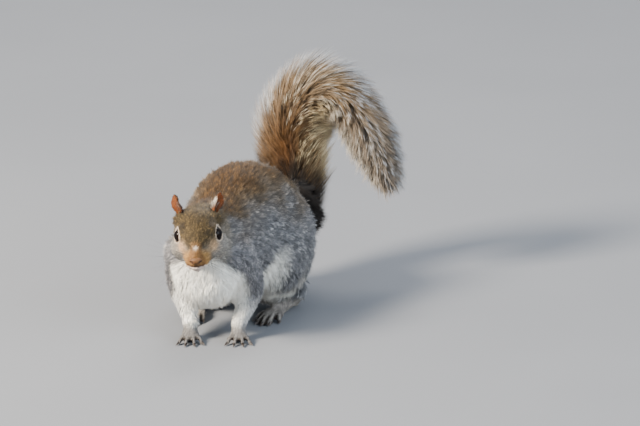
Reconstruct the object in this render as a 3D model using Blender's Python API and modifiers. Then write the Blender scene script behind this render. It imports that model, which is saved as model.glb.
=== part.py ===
"""Grey squirrel, life size, standing on all fours with its tail raised over its back.

The animal is modelled whole: named body forms are melted into one closed skin,
which is then parted with thin cuts into the pieces that a person would name.
The solids reach out to the tips of the fur.

Axes: the nose points to -Y, the tail to +Y, the animal's left side is +X and
the floor is z = 0. Tables and sizes are in millimetres and degrees.
"""

import math

import bmesh
import bpy
from mathutils import Matrix, Vector

MM = 0.001
PARTS_NAME = "grey_squirrel"
HELPERS_NAME = "forms_and_cutters"

# ---- pose -------------------------------------------------------------------
LOOK_TURN = 18.0            # head, forepaws and tail are turned this far to the animal's left
HEAD_PITCH = 7.0            # the nose dips below level
HEAD_ROLL = 3.5             # the left eye sits a little higher than the right
EYES_MIDDLE = (-7.2, -12.0, 84.5)

# ---- head features ----------------------------------------------------------
EYE_RADIUS = 4.9
EYE_OFFSET = (12.3, 0.6, -0.2)
NOSE_AT = (0.0, -26.7, -9.7)
NOSE_RADII = (2.9, 1.9, 2.2)
EAR_ROOT = (14.2, 15.5, 7.6)
EAR_ALONG = (0.20, 0.68, 0.70)     # from root to tip
EAR_FACING = (0.78, -0.60, 0.20)   # the way the cup opens
EAR_LENGTH = 18.5
EAR_HALF_WIDTH = 7.6
EAR_ROOT_SHARE = 0.86              # half width at the root, as a share
EAR_FLARE = 0.22                   # how much wider it grows before it rounds over
EAR_ROUNDING = 2.1                 # a higher power gives a blunter tip
EAR_CUP = 4.0
EAR_BEND = 1.4                     # the tip leans back by this much
EAR_WALL = 1.5
EAR_GRID = (9, 6)                  # rows along it and columns across it

# ---- feet -------------------------------------------------------------------
TOE_DROP = 0.35                    # how far each toe's tip dips
SOLE_LEVEL = 0.3                   # the soles are trimmed flat at this height
FORE_TOE_RADIUS = 1.9
HIND_TOE_RADIUS = 2.1
KNUCKLE_HEIGHT = 5.4
TOE_ARCH_HEIGHT = 4.6
CLAW_LENGTH = 4.2
CLAW_RADII = (0.95, 0.75, 0.45)    # at the toe, half way and at the tip

# ---- meshing ----------------------------------------------------------------
CUT = 0.3                          # width of the thin cuts
TORSO_VOXEL, TORSO_ROUNDS = 2.0, 14
HEAD_VOXEL, HEAD_ROUNDS = 1.0, 6
PAW_VOXEL, PAW_ROUNDS = 0.5, 2
WHOLE_VOXEL, WHOLE_ROUNDS = 0.8, 3
BODY_TRIANGLES = 6100              # before the cuts
PIECE_SHARE = 0.65                 # kept of each piece's triangles after the cuts
EAR_TRIANGLES = 300
CAGE_SIDES = 12                    # corners of each ring of a loft
BALL_SEGMENTS = 24
REGION_SEGMENTS = 22
EYE_SEGMENTS = 16
NOSE_SEGMENTS = 12
DRUM_SEGMENTS = 32
SHARP_ANGLE = 50.0
FLOOR_RADIUS, FLOOR_DEPTH = 400.0, 40.0

# name: (along y, middle x, lowest z, highest z, half width)
TRUNK = {
    "breast": (-7.0, -9.0, 38.0, 74.0, 15.0),
    "chest": (4.0, -9.5, 25.0, 83.0, 24.0),
    "shoulder": (22.0, -11.0, 20.0, 92.0, 27.5),
    "ribs": (44.0, -10.5, 17.0, 104.0, 32.0),
    "loin": (68.0, -8.0, 14.0, 113.0, 38.0),
    "hip": (92.0, -6.0, 13.0, 113.0, 42.0),
    "rump": (114.0, -4.0, 15.0, 104.5, 39.0),
    "seat": (132.0, -3.0, 22.0, 90.0, 31.0),
    "dock": (147.0, -3.0, 30.0, 72.0, 21.0),
}

# the same columns in the head's frame: its origin is midway between the eyes
HEAD = {
    "nose": (-27.0, 0.0, -15.2, -6.6, 5.2),
    "snout": (-23.6, 0.0, -18.0, -3.4, 8.2),
    "muzzle": (-17.5, 0.0, -19.4, 1.0, 10.2),
    "bridge": (-10.0, 0.0, -20.2, 7.2, 12.6),
    "brow": (-1.0, 0.0, -21.0, 12.8, 15.4),
    "cheek": (9.0, 0.0, -22.0, 15.4, 17.6),
    "crown": (19.0, 0.0, -23.0, 13.6, 18.2),
    "occiput": (30.0, 0.0, -25.0, 10.6, 18.0),
    "nape": (40.0, 0.0, -30.0, 8.0, 20.0),
}

# swellings of each side of the head: (centre, radii), mirrored for the other side
HEAD_SWELLINGS = {
    "cheek": ((10.6, 6.5, -10.4), (10.0, 14.0, 10.4)),
    "whisker_pad": ((5.2, -17.6, -12.2), (5.9, 7.2, 5.6)),
    "brow": ((10.4, 1.0, 4.6), (4.4, 8.0, 3.4)),
    "orbit": ((10.4, 0.6, -1.6), (5.4, 8.4, 7.0)),
    "temple": ((11.0, 13.0, 4.0), (6.8, 10.0, 8.5)),
}
CHIN = ((0.0, -15.5, -17.4), (5.4, 6.6, 3.4))

# in the tail's frame, turned LOOK_TURN about z: (x, y, z, half breadth, half depth)
TAIL = {
    "root": (44.0, 137.0, 48.0, 20.0, 20.0),
    "base": (51.0, 152.0, 54.0, 27.0, 21.0),
    "low": (55.0, 163.0, 74.0, 29.5, 20.0),
    "rise": (55.0, 168.0, 97.0, 31.0, 21.0),
    "bend": (55.0, 169.0, 118.0, 33.0, 22.0),
    "arch": (64.0, 168.0, 136.0, 34.0, 23.0),
    "crest": (79.0, 166.0, 146.0, 34.0, 22.0),
    "turn": (95.0, 164.0, 139.0, 27.0, 20.0),
    "fall": (107.5, 161.0, 122.0, 23.5, 18.0),
    "drop": (118.5, 159.0, 101.0, 20.0, 15.0),
    "tip": (127.0, 157.0, 80.0, 13.0, 10.0),
    "end": (132.0, 156.0, 66.0, 4.0, 4.0),
}

# stations of round limbs: (x, y, z, radius)
NECK = [(-11.0, 34.0, 72.0, 26.5), (-12.5, 20.0, 79.0, 22.5)]
NAPE_END = ((0.0, 20.0, -4.0), 18.5)       # in the head's frame
FORELEG = {                                # shoulder, elbow, forearm and wrist
    "left": [
        (9.0, 20.0, 62.0, 14.5),
        (17.0, 29.0, 38.0, 11.5),
        (16.0, 24.0, 25.0, 8.6),
        (12.8, 17.0, 12.0, 6.0),
    ],
    "right": [
        (-29.0, 17.0, 62.0, 14.0),
        (-32.0, 21.0, 38.0, 11.5),
        (-26.5, 15.0, 25.0, 8.6),
        (-20.2, 7.5, 12.0, 6.0),
    ],
}
WRIST = {"left": (12.8, 17.0), "right": (-20.2, 7.0)}
THIGH = {"left": (19.0, 96.0, 46.0), "right": (-33.0, 90.0, 46.0)}
THIGH_RADII = (22.5, 38.0, 42.0)
THIGH_LEAN, THIGH_TILT = 6.0, -15.0
SHANK_TOP, SHANK_END = (-4.0, 28.0, 19.0), (-6.0, 16.0, 12.5)   # (y from thigh or heel, z, radius)

# heel x and y, degrees turned and how widely the toes spread
HIND_STANCE = {"left": (24.0, 110.0, -5.5, 1.0), "right": (-40.0, 93.5, 10.0, 0.78)}

# toes fan out from a foot: (knuckle x, knuckle y, tip x, tip y)
FORE_TOES = [
    (-4.4, -6.0, -8.2, -14.0),
    (-1.6, -7.5, -3.0, -17.0),
    (1.6, -7.5, 3.2, -17.0),
    (4.4, -6.0, 8.6, -13.5),
]
HIND_TOES = [
    (-5.2, -37.0, -9.0, -49.0),
    (-2.7, -40.0, -4.7, -55.5),
    (0.0, -41.0, 0.0, -57.5),
    (2.7, -40.0, 4.7, -55.5),
    (5.2, -36.0, 9.0, -47.5),
]


# ---- scene helpers ----------------------------------------------------------
def clear_scene():
    for obj in list(bpy.data.objects):
        bpy.data.objects.remove(obj)


def new_collection(name, helper=False):
    made = bpy.data.collections.new(name)
    made.hide_render = helper
    bpy.context.scene.collection.children.link(made)
    return made


def turned(degrees, axis):
    return Matrix.Rotation(math.radians(degrees), 4, axis)


def placed(point, *turns):
    """The matrix that puts a local frame, in millimetres, at a point."""
    matrix = Matrix.Translation(Vector(point))
    for turn in turns:
        matrix = matrix @ turn
    return matrix


clear_scene()
PARTS = new_collection(PARTS_NAME)
HELPERS = new_collection(HELPERS_NAME, helper=True)

WORLD = Matrix.Identity(4)
HEAD_FRAME = placed(EYES_MIDDLE, turned(LOOK_TURN, "Z"), turned(HEAD_PITCH, "X"), turned(-HEAD_ROLL, "Y"))
TAIL_FRAME = turned(LOOK_TURN, "Z")
SIDES = {"left": 1, "right": -1}


def object_from(bm, name, frame=WORLD):
    """A helper object from a bmesh in millimetres."""
    bmesh.ops.transform(bm, matrix=Matrix.Scale(MM, 4) @ frame, verts=bm.verts)
    bmesh.ops.recalc_face_normals(bm, faces=bm.faces)
    mesh = bpy.data.meshes.new(name)
    bm.to_mesh(mesh)
    bm.free()
    obj = bpy.data.objects.new(name, mesh)
    obj.display_type = "WIRE"
    HELPERS.objects.link(obj)
    return obj


def duplicate(obj, name):
    copy = obj.copy()
    copy.data = obj.data.copy()
    copy.name = name
    HELPERS.objects.link(copy)
    return copy


def evaluated_mesh(obj):
    bpy.context.view_layer.update()
    graph = bpy.context.evaluated_depsgraph_get()
    return bpy.data.meshes.new_from_object(obj.evaluated_get(graph))


def freeze(obj):
    """Replaces the object's mesh by the one that its modifiers make."""
    mesh = evaluated_mesh(obj)
    obj.modifiers.clear()
    obj.data = mesh
    return obj


def round_over(obj, levels):
    smooth = obj.modifiers.new("round", "SUBSURF")
    smooth.levels = smooth.render_levels = levels
    return freeze(obj)


def reduced(obj, triangles):
    obj.data.calc_loop_triangles()
    reduce = obj.modifiers.new("reduce", "DECIMATE")
    reduce.ratio = min(1.0, triangles / len(obj.data.loop_triangles))
    reduce.use_collapse_triangulate = True
    return freeze(obj)


def boolean(name, body, other, operation):
    obj = duplicate(body, f"{name}_piece")
    cut = obj.modifiers.new("cut", "BOOLEAN")
    cut.operation = operation
    cut.solver = "EXACT"
    cut.object = other
    return freeze(obj)


# ---- form makers ------------------------------------------------------------
def ellipsoid(name, centre, radii, frame=WORLD, turn=WORLD, segments=BALL_SEGMENTS):
    bm = bmesh.new()
    bmesh.ops.create_uvsphere(bm, u_segments=segments, v_segments=segments // 2, radius=1.0)
    shape = Matrix.Translation(Vector(centre)) @ turn @ Matrix.Diagonal((*radii, 1.0))
    return object_from(bm, name, frame @ shape)


def ring_points(centre, across, up, half_width, half_height):
    # Subdivision draws a ring of this many corners in, so the cage starts wider.
    swell = 6.0 / (4.0 + 2.0 * math.cos(2 * math.pi / CAGE_SIDES))
    for step in range(CAGE_SIDES):
        angle = 2 * math.pi * step / CAGE_SIDES
        sideways = across * (half_width * swell * math.cos(angle))
        yield centre + sideways + up * (half_height * swell * math.sin(angle))


def loft(name, rings, frame=WORLD):
    """A closed cage through rings of points, rounded by Subdivision Surface."""
    bm = bmesh.new()
    loops = [[bm.verts.new(point) for point in ring_points(*ring)] for ring in rings]
    for near, far in zip(loops, loops[1:]):
        for a in range(CAGE_SIDES):
            b = (a + 1) % CAGE_SIDES
            bm.faces.new((near[a], near[b], far[b], far[a]))
    bm.faces.new(reversed(loops[0]))
    bm.faces.new(loops[-1])
    return round_over(object_from(bm, name, frame), levels=2)


def upright_rings(table):
    """Rings square to y, from rows of (y, x, lowest, highest, half width)."""
    for y, x, low, high, half_width in table.values():
        middle = Vector((x, y, (low + high) / 2))
        yield middle, Vector((1, 0, 0)), Vector((0, 0, 1)), half_width, (high - low) / 2


def path_rings(table):
    """Rings square to a path, from rows of (x, y, z, half breadth, half depth)."""
    rows = list(table.values())
    points = [Vector(row[:3]) for row in rows]
    for index, row in enumerate(rows):
        ahead = points[min(index + 1, len(rows) - 1)]
        behind = points[max(index - 1, 0)]
        along = (ahead - behind).normalized()
        depth = (Vector((0, 1, 0)) - along * along.y).normalized()
        yield points[index], along.cross(depth), depth, row[3], row[4]


def tapered_tube(name, stations, frame, sides):
    """A closed mesh tube through the stations, in metres."""
    curve = bpy.data.curves.new(name, "CURVE")
    curve.dimensions = "3D"
    curve.bevel_depth = MM
    curve.bevel_resolution = sides // 4
    curve.resolution_u = 6
    curve.use_fill_caps = True
    spline = curve.splines.new("BEZIER")
    spline.bezier_points.add(len(stations) - 1)
    for point, (x, y, z, radius) in zip(spline.bezier_points, stations):
        point.co = (frame @ Vector((x, y, z))) * MM
        point.radius = radius
        point.handle_left_type = point.handle_right_type = "AUTO"
    tube = bpy.data.objects.new(name, curve)
    HELPERS.objects.link(tube)
    mesh = evaluated_mesh(tube)
    bpy.data.objects.remove(tube)
    return mesh


def limb(name, stations, frame=WORLD, sides=12):
    """A tapered round limb through (x, y, z, radius) stations, with ball ends."""
    bm = bmesh.new()
    bm.from_mesh(tapered_tube(name, stations, frame, sides))
    bmesh.ops.remove_doubles(bm, verts=bm.verts, dist=1e-6)
    bmesh.ops.scale(bm, vec=(1 / MM,) * 3, verts=bm.verts)
    for x, y, z, radius in (stations[0], stations[-1]):
        ball = Matrix.Translation(frame @ Vector((x, y, z)))
        bmesh.ops.create_uvsphere(bm, u_segments=sides, v_segments=sides // 2, radius=radius, matrix=ball)
    return object_from(bm, name)


def melt(name, forms, voxel, rounds):
    """Joins overlapping forms into one closed skin and softens where they meet."""
    bm = bmesh.new()
    for form in forms:
        bm.from_mesh(form.data)
    bmesh.ops.scale(bm, vec=(1 / MM,) * 3, verts=bm.verts)
    obj = object_from(bm, name)
    remesh = obj.modifiers.new("melt", "REMESH")
    remesh.mode = "VOXEL"
    remesh.voxel_size = voxel * MM
    soften = obj.modifiers.new("soften", "SMOOTH")
    soften.factor = 0.5
    soften.iterations = rounds
    return freeze(obj)


# ---- trunk, neck and the upper legs -----------------------------------------
def neck_form():
    nape, radius = NAPE_END
    return limb("neck_form", [*NECK, (*(HEAD_FRAME @ Vector(nape)), radius)])


def thigh_form(side):
    lean = turned(SIDES[side] * THIGH_LEAN, "Y") @ turned(THIGH_TILT, "X")
    return ellipsoid(f"thigh_form_{side}", THIGH[side], THIGH_RADII, turn=lean)


def shank_form(side):
    thigh_x, thigh_y, _ = THIGH[side]
    heel_x, heel_y = HIND_STANCE[side][:2]
    top_y, top_z, top_radius = SHANK_TOP
    end_y, end_z, end_radius = SHANK_END
    top = (thigh_x, thigh_y + top_y, top_z, top_radius)
    return limb(f"shank_form_{side}", [top, (heel_x, heel_y + end_y, end_z, end_radius)])


def torso_forms():
    forms = [loft("trunk_form", upright_rings(TRUNK)), neck_form()]
    for side in SIDES:
        forms += [thigh_form(side), shank_form(side), limb(f"foreleg_form_{side}", FORELEG[side])]
    return forms


# ---- head -------------------------------------------------------------------
def head_forms():
    forms = [loft("head_form", upright_rings(HEAD), HEAD_FRAME)]
    for name, ((x, y, z), radii) in HEAD_SWELLINGS.items():
        for side in SIDES.values():
            forms.append(ellipsoid(f"{name}_form", (side * x, y, z), radii, HEAD_FRAME))
    forms.append(ellipsoid("chin_form", *CHIN, HEAD_FRAME))
    return forms


def eye_ball(name, side, grow=0.0):
    x, y, z = EYE_OFFSET
    return ellipsoid(name, (side * x, y, z), (EYE_RADIUS + grow,) * 3, HEAD_FRAME, segments=EYE_SEGMENTS)


def nose_pad(name, grow=0.0):
    radii = [radius + grow for radius in NOSE_RADII]
    return ellipsoid(name, NOSE_AT, radii, HEAD_FRAME, segments=NOSE_SEGMENTS)


def ear_leaf(name, side):
    """A cupped leaf, standing on the crown and facing out and forward."""
    root = Vector(EAR_ROOT)
    along = Vector(EAR_ALONG).normalized()
    facing = Vector(EAR_FACING)
    for direction in (root, along, facing):
        direction.x *= side
    facing = (facing - along * facing.dot(along)).normalized()
    across = along.cross(facing)
    rows, columns = EAR_GRID
    bm = bmesh.new()
    grid = []
    for row in range(rows + 1):
        rise = row / rows
        rounding = math.sqrt(max(1.0 - rise**EAR_ROUNDING, 0.02))
        width = EAR_HALF_WIDTH * (EAR_ROOT_SHARE + EAR_FLARE * rise) * rounding
        line = []
        for column in range(columns + 1):
            sideways = width * (2.0 * column / columns - 1.0)
            cup = EAR_CUP * ((sideways / EAR_HALF_WIDTH) ** 2 - 0.45) * (1.0 - 0.4 * rise)
            point = root + along * (EAR_LENGTH * rise) + across * sideways
            line.append(bm.verts.new(point + facing * (cup - EAR_BEND * rise * rise)))
        grid.append(line)
    for low, high in zip(grid, grid[1:]):
        for corners in zip(low, low[1:], high[1:], high):
            bm.faces.new(corners)
    return object_from(bm, name, HEAD_FRAME)


def ear(side_name, seat):
    obj = ear_leaf(f"ear_leaf_{side_name}", SIDES[side_name])
    wall = obj.modifiers.new("wall", "SOLIDIFY")
    wall.thickness = EAR_WALL * MM
    wall.offset = 0.0
    shell = reduced(round_over(obj, levels=1), EAR_TRIANGLES)
    return biggest_island(boolean(f"ear_{side_name}", shell, seat, "DIFFERENCE"))


# ---- feet -------------------------------------------------------------------
def claw_form(name, tip, out, radius, frame):
    """A claw that leaves the toe's tip and comes down to the floor."""
    start, middle, end = CLAW_RADII
    reach = radius * 0.5
    stations = [
        (*(tip + out * radius * 0.4), start),
        (*(tip + out * (reach + CLAW_LENGTH * 0.5)), middle),
        (*(tip + out * (reach + CLAW_LENGTH * 0.85) + Vector((0, 0, 0.6 - radius))), end),
    ]
    return limb(f"{name}_claw", stations, frame, sides=8)


def toe_forms(name, toes, frame, radius):
    forms = []
    for knuckle_x, knuckle_y, tip_x, tip_y in toes:
        middle = ((knuckle_x + tip_x) / 2, (knuckle_y + tip_y) / 2)
        stations = [
            (knuckle_x, knuckle_y, KNUCKLE_HEIGHT, radius * 1.1),
            (*middle, TOE_ARCH_HEIGHT, radius),
            (tip_x, tip_y, radius - TOE_DROP, radius * 0.95),
        ]
        forms.append(limb(f"{name}_toe", stations, frame, sides=8))
        out = Vector((tip_x - knuckle_x, tip_y - knuckle_y, 0.0)).normalized()
        forms.append(claw_form(name, Vector((tip_x, tip_y, radius)), out, radius, frame))
    return forms


def forepaw_forms(side):
    name = f"forepaw_{side}"
    frame = placed((*WRIST[side], 0.0), turned(LOOK_TURN, "Z"))
    forms = [
        limb(f"{name}_wrist", [(0.0, 0.5, 14.0, 5.7), (0.0, -1.0, 8.0, 5.2)], frame),
        ellipsoid(f"{name}_palm", (0.0, -3.6, 5.2), (6.4, 6.6, 4.6), frame),
        ellipsoid(f"{name}_pad", (0.0, -3.0, 2.4), (5.2, 5.4, 2.7), frame),
    ]
    return forms + toe_forms(name, FORE_TOES, frame, FORE_TOE_RADIUS)


def hind_foot_forms(side):
    name = f"hind_foot_{side}"
    heel_x, heel_y, turn, spread = HIND_STANCE[side]
    frame = placed((heel_x, heel_y, 0.0), turned(turn, "Z"))
    flatter = Matrix.Diagonal((1.25, 1.0, 0.9, 1.0))
    instep = [(0.0, -2.0, 6.4, 5.4), (0.0, -20.0, 6.0, 5.0), (0.0, -36.0, 4.9, 4.9)]
    forms = [
        ellipsoid(f"{name}_heel", (0.0, -3.0, 6.0), (6.0, 8.0, 6.3), frame),
        ellipsoid(f"{name}_sole", (0.0, -34.0, 2.6), (6.4, 8.0, 2.9), frame),
        limb(f"{name}_instep", instep, frame @ flatter),
    ]
    fan = [(knuckle_x, knuckle_y, tip_x * spread, tip_y) for knuckle_x, knuckle_y, tip_x, tip_y in HIND_TOES]
    return forms + toe_forms(name, fan, frame, HIND_TOE_RADIUS)


# ---- the whole body ---------------------------------------------------------
def build_whole():
    """The animal in one piece, without eyes, ears and nose pad."""
    forms = [
        melt("torso", torso_forms(), TORSO_VOXEL, TORSO_ROUNDS),
        melt("head_whole", head_forms(), HEAD_VOXEL, HEAD_ROUNDS),
        loft("tail_whole", path_rings(TAIL), TAIL_FRAME),
    ]
    for side in SIDES:
        forms.append(melt(f"forepaw_whole_{side}", forepaw_forms(side), PAW_VOXEL, PAW_ROUNDS))
        forms.append(melt(f"hind_foot_whole_{side}", hind_foot_forms(side), PAW_VOXEL, PAW_ROUNDS))
    return melt("whole", forms, WHOLE_VOXEL, WHOLE_ROUNDS)


# ---- parting with thin cuts -------------------------------------------------
def biggest_island(obj):
    """Drops the crumbs that a cut leaves beside the piece."""
    bm = bmesh.new()
    bm.from_mesh(obj.data)
    left = set(bm.verts)
    islands = []
    while left:
        stack = [left.pop()]
        island = list(stack)
        while stack:
            for edge in stack.pop().link_edges:
                for vert in edge.verts:
                    if vert in left:
                        left.remove(vert)
                        stack.append(vert)
                        island.append(vert)
        islands.append(island)
    islands.sort(key=len)
    crumbs = [vert for island in islands[:-1] for vert in island]
    bmesh.ops.delete(bm, geom=crumbs, context="VERTS")
    bm.to_mesh(obj.data)
    bm.free()
    return obj


def ball_region(centre, radii, frame=WORLD, turn=WORLD):
    """A region bounded by an ellipsoid. Growing it by the cut's width makes the gap."""

    def build(grow):
        grown_radii = [radius + grow for radius in radii]
        return ellipsoid("region", centre, grown_radii, frame, turn, segments=REGION_SEGMENTS)

    return build


def drum_region(base, direction, radius, length, frame=WORLD):
    """A region beyond a flat plane, bounded by a drum that stands on it."""

    def build(grow):
        axis = Vector(direction).normalized()
        depth = length + grow
        middle = Vector(base) + axis * (depth / 2 - grow)
        stand = Matrix.Translation(middle) @ axis.to_track_quat("Z", "Y").to_matrix().to_4x4()
        bm = bmesh.new()
        bmesh.ops.create_cone(
            bm,
            cap_ends=True,
            segments=DRUM_SEGMENTS,
            radius1=radius + grow,
            radius2=radius + grow,
            depth=depth,
            matrix=stand,
        )
        return object_from(bm, "region", frame)

    return build


def beyond(table, first, second, radius, length, frame):
    """The region past the middle of two neighbouring stations of a path."""
    near, far = Vector(table[first][:3]), Vector(table[second][:3])
    return drum_region((near + far) / 2, far - near, radius, length, frame)


LEFT_LEAN, RIGHT_LEAN = turned(8.0, "Y"), turned(-8.0, "Y")
THIGH_TURN = turned(THIGH_TILT, "X")
WRIST_DOWN = (0.1, -0.35, -1.0)
ANKLE_DOWN = (0.0, -0.1, -1.0)
FORELEG_REGION = (15.0, 20.0, 40.0)
THIGH_REGION = (25.0, 42.0, 48.0)

# in the order of cutting: each region takes its piece from what is left
REGIONS = {
    "tail_5": beyond(TAIL, "fall", "drop", 34.0, 90.0, TAIL_FRAME),
    "tail_4": drum_region((89.5, 165.0, 122.0), (1.0, 0.0, 0.0), 70.0, 60.0, TAIL_FRAME),
    "tail_3": drum_region((56.0, 168.0, 119.0), (0.15, 0.0, 1.0), 60.0, 80.0, TAIL_FRAME),
    "tail_2": drum_region((55.0, 180.0, 85.0), (0.0, 0.0, 1.0), 44.0, 80.0, TAIL_FRAME),
    "tail_1": drum_region((46.0, 144.0, 48.0), (0.0, 1.0, 0.0), 48.0, 60.0, TAIL_FRAME),
    "head": ball_region((0.0, -4.0, -1.5), (29.0, 37.0, 25.5), HEAD_FRAME),
    "neck": ball_region((-1.0, 3.0, -8.0), (33.0, 42.0, 30.0), HEAD_FRAME),
    "forepaw_left": drum_region((12.8, 14.0, 14.5), WRIST_DOWN, 22.0, 24.0),
    "forepaw_right": drum_region((-20.2, 5.0, 14.5), WRIST_DOWN, 22.0, 24.0),
    "hind_foot_left": drum_region((23.0, 86.0, 11.2), ANKLE_DOWN, 52.0, 24.0),
    "hind_foot_right": drum_region((-37.0, 68.0, 11.2), ANKLE_DOWN, 52.0, 24.0),
    "foreleg_left": ball_region((16.0, 25.0, 38.0), FORELEG_REGION, turn=LEFT_LEAN),
    "foreleg_right": ball_region((-35.0, 18.0, 38.0), FORELEG_REGION, turn=RIGHT_LEAN),
    "thigh_left": ball_region((30.0, 98.0, 40.0), THIGH_REGION, turn=LEFT_LEAN @ THIGH_TURN),
    "thigh_right": ball_region((-43.0, 90.0, 40.0), THIGH_REGION, turn=RIGHT_LEAN @ THIGH_TURN),
}


def parted(body):
    """The pieces by name: one for each region, and the trunk, which is what is left."""
    pieces = {}
    for name, region in REGIONS.items():
        pieces[name] = biggest_island(boolean(name, body, region(0.0), "INTERSECT"))
        body = boolean("rest", body, region(CUT), "DIFFERENCE")
    pieces["trunk"] = biggest_island(body)
    for piece in pieces.values():
        piece.data.calc_loop_triangles()
        reduced(piece, PIECE_SHARE * len(piece.data.loop_triangles))
    return pieces


def grown(body):
    """The body with its surface moved out by the cut's width, to seat the ears on."""
    obj = duplicate(body, "seat")
    move = obj.modifiers.new("grow", "DISPLACE")
    move.strength = CUT * MM
    move.mid_level = 0.0
    return freeze(obj)


def level_soles(pieces):
    """Trims the feet at one level, so that every pad stands on a small flat."""
    floor = drum_region((0.0, 0.0, SOLE_LEVEL), (0.0, 0.0, -1.0), FLOOR_RADIUS, FLOOR_DEPTH)(0.0)
    for name in ("forepaw_left", "forepaw_right", "hind_foot_left", "hind_foot_right"):
        pieces[name] = biggest_island(boolean(name, pieces[name], floor, "DIFFERENCE"))


def fit_features(pieces, body):
    """Adds the ears, eyes and nose pad, and cuts the sockets that hold them."""
    seat = grown(body)
    head = pieces["head"]
    for side, sign in SIDES.items():
        pieces[f"ear_{side}"] = ear(side, seat)
        pieces[f"eye_{side}"] = eye_ball("ball", sign)
        head = boolean("head", head, eye_ball("socket", sign, CUT), "DIFFERENCE")
    pieces["nose"] = nose_pad("pad")
    pieces["head"] = boolean("head", head, nose_pad("nose_seat", CUT), "DIFFERENCE")


# ---- materials, names and the origin ----------------------------------------
def finish(name, colour, roughness, sheen=0.0):
    material = bpy.data.materials.new(name)
    material.use_nodes = True
    shader = material.node_tree.nodes["Principled BSDF"]
    shader.inputs["Base Color"].default_value = (*colour, 1.0)
    shader.inputs["Roughness"].default_value = roughness
    shader.inputs["Metallic"].default_value = 0.0
    shader.inputs["Sheen Weight"].default_value = sheen
    material.diffuse_color = (*colour, 1.0)
    return material


def make_finishes():
    """The finish for each start of a node's name; the empty start is the body's coat."""
    return {
        "tail": finish("tail_coat", (0.42, 0.31, 0.20), 0.9, sheen=0.3),
        "ear": finish("ear_skin", (0.45, 0.22, 0.12), 0.8),
        "eye": finish("eye_gloss", (0.012, 0.009, 0.008), 0.06),
        "nose": finish("nose_skin", (0.30, 0.15, 0.10), 0.5),
        "": finish("coat", (0.30, 0.27, 0.23), 0.9, sheen=0.3),
    }


def bounds(objects):
    points = [vert.co for obj in objects for vert in obj.data.vertices]
    low = Vector([min(point[axis] for point in points) for axis in range(3)])
    high = Vector([max(point[axis] for point in points) for axis in range(3)])
    return low, high


def hand_over(pieces):
    """Names and dresses the pieces, and stands the middle of their box over the origin."""
    finishes = make_finishes()
    low, high = bounds(pieces.values())
    shift = -Vector(((low.x + high.x) / 2, (low.y + high.y) / 2, low.z))
    for name, obj in pieces.items():
        obj.data.transform(Matrix.Translation(shift))
        obj.data.materials.clear()
        obj.data.materials.append(next(finishes[start] for start in finishes if name.startswith(start)))
        for polygon in obj.data.polygons:
            polygon.material_index = 0
        obj.data.shade_smooth()
        obj.data.set_sharp_from_angle(angle=math.radians(SHARP_ANGLE))
        HELPERS.objects.unlink(obj)
        PARTS.objects.link(obj)
        obj.name = obj.data.name = name
        obj.display_type = "TEXTURED"
    return shift


def main():
    body = reduced(build_whole(), BODY_TRIANGLES)
    pieces = parted(body)
    level_soles(pieces)
    fit_features(pieces, body)
    shift = hand_over(pieces)
    for helper in HELPERS.objects:
        helper.hide_render = True
    print("moved by", [round(value / MM, 2) for value in shift], "mm")
    return shift


if __name__ == "__main__":
    SHIFT = main()
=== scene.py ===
"""The finished look of a life-size grey squirrel, built round its packed solids.

The solids reach to the tips of the fur. One skin is made from them, drawn in by
the depth of the coat, and combed tufts of fur are planted on it. Colour, depth
and the lie of the coat are worked out once for each point of the skin, and the
tufts take them from their roots, so that skin and coat always agree.

The animal's own axes are in millimetres: +X is its left side, -Y is the way it
faces, +Z is up. The head has axes of its own, midway between its eyes.
"""

from __future__ import annotations

import logging
import math
from collections.abc import Sequence
from dataclasses import dataclass, field
from enum import Enum

import bmesh
import bpy
import numpy as np
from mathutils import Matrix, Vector
from mathutils.bvhtree import BVHTree


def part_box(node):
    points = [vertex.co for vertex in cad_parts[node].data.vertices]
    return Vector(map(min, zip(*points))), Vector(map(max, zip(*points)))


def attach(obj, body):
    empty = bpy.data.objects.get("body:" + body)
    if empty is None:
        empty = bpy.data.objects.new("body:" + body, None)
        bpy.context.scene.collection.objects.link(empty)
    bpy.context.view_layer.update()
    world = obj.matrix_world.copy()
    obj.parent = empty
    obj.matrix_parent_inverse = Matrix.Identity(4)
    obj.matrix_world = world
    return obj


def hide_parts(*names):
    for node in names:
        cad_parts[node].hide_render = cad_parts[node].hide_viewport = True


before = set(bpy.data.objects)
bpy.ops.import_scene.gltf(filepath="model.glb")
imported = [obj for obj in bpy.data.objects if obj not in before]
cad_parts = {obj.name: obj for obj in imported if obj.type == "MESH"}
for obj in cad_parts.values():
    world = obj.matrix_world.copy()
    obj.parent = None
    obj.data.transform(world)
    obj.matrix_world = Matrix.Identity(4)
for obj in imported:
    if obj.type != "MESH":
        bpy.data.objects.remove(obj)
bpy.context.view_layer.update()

LOG = logging.getLogger("grey_squirrel")
MM = 0.001
BODY = "root"
SIDES = {"left": 1.0, "right": -1.0}
FLESH = [
    "head",
    "neck",
    "trunk",
    *(f"{name}_{side}" for name in ("foreleg", "forepaw", "thigh", "hind_foot") for side in SIDES),
]
TAIL_NODES = [f"tail_{number}" for number in range(1, 6)]

Array = np.ndarray
Object = bpy.types.Object
Material = bpy.types.Material
Span = tuple[float, float]
Triple = tuple[float, float, float]
Colour = Triple


# ---- small vector tools ----
def fade(low: float, high: float, values: Array) -> Array:
    """A soft step that is 0 at low and 1 at high, which may lie below low."""
    share = np.clip((values - low) / (high - low), 0.0, 1.0)
    return share * share * (3.0 - 2.0 * share)


def bump(middle: float, width: float, values: Array) -> Array:
    """A soft hill, 1 at the middle and near 0 one and a half widths away."""
    return np.exp(-(((values - middle) / width) ** 2))


def unit(vectors: Array) -> Array:
    """Vectors scaled to length one."""
    return vectors / np.maximum(np.linalg.norm(vectors, axis=-1, keepdims=True), 1e-9)


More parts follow.
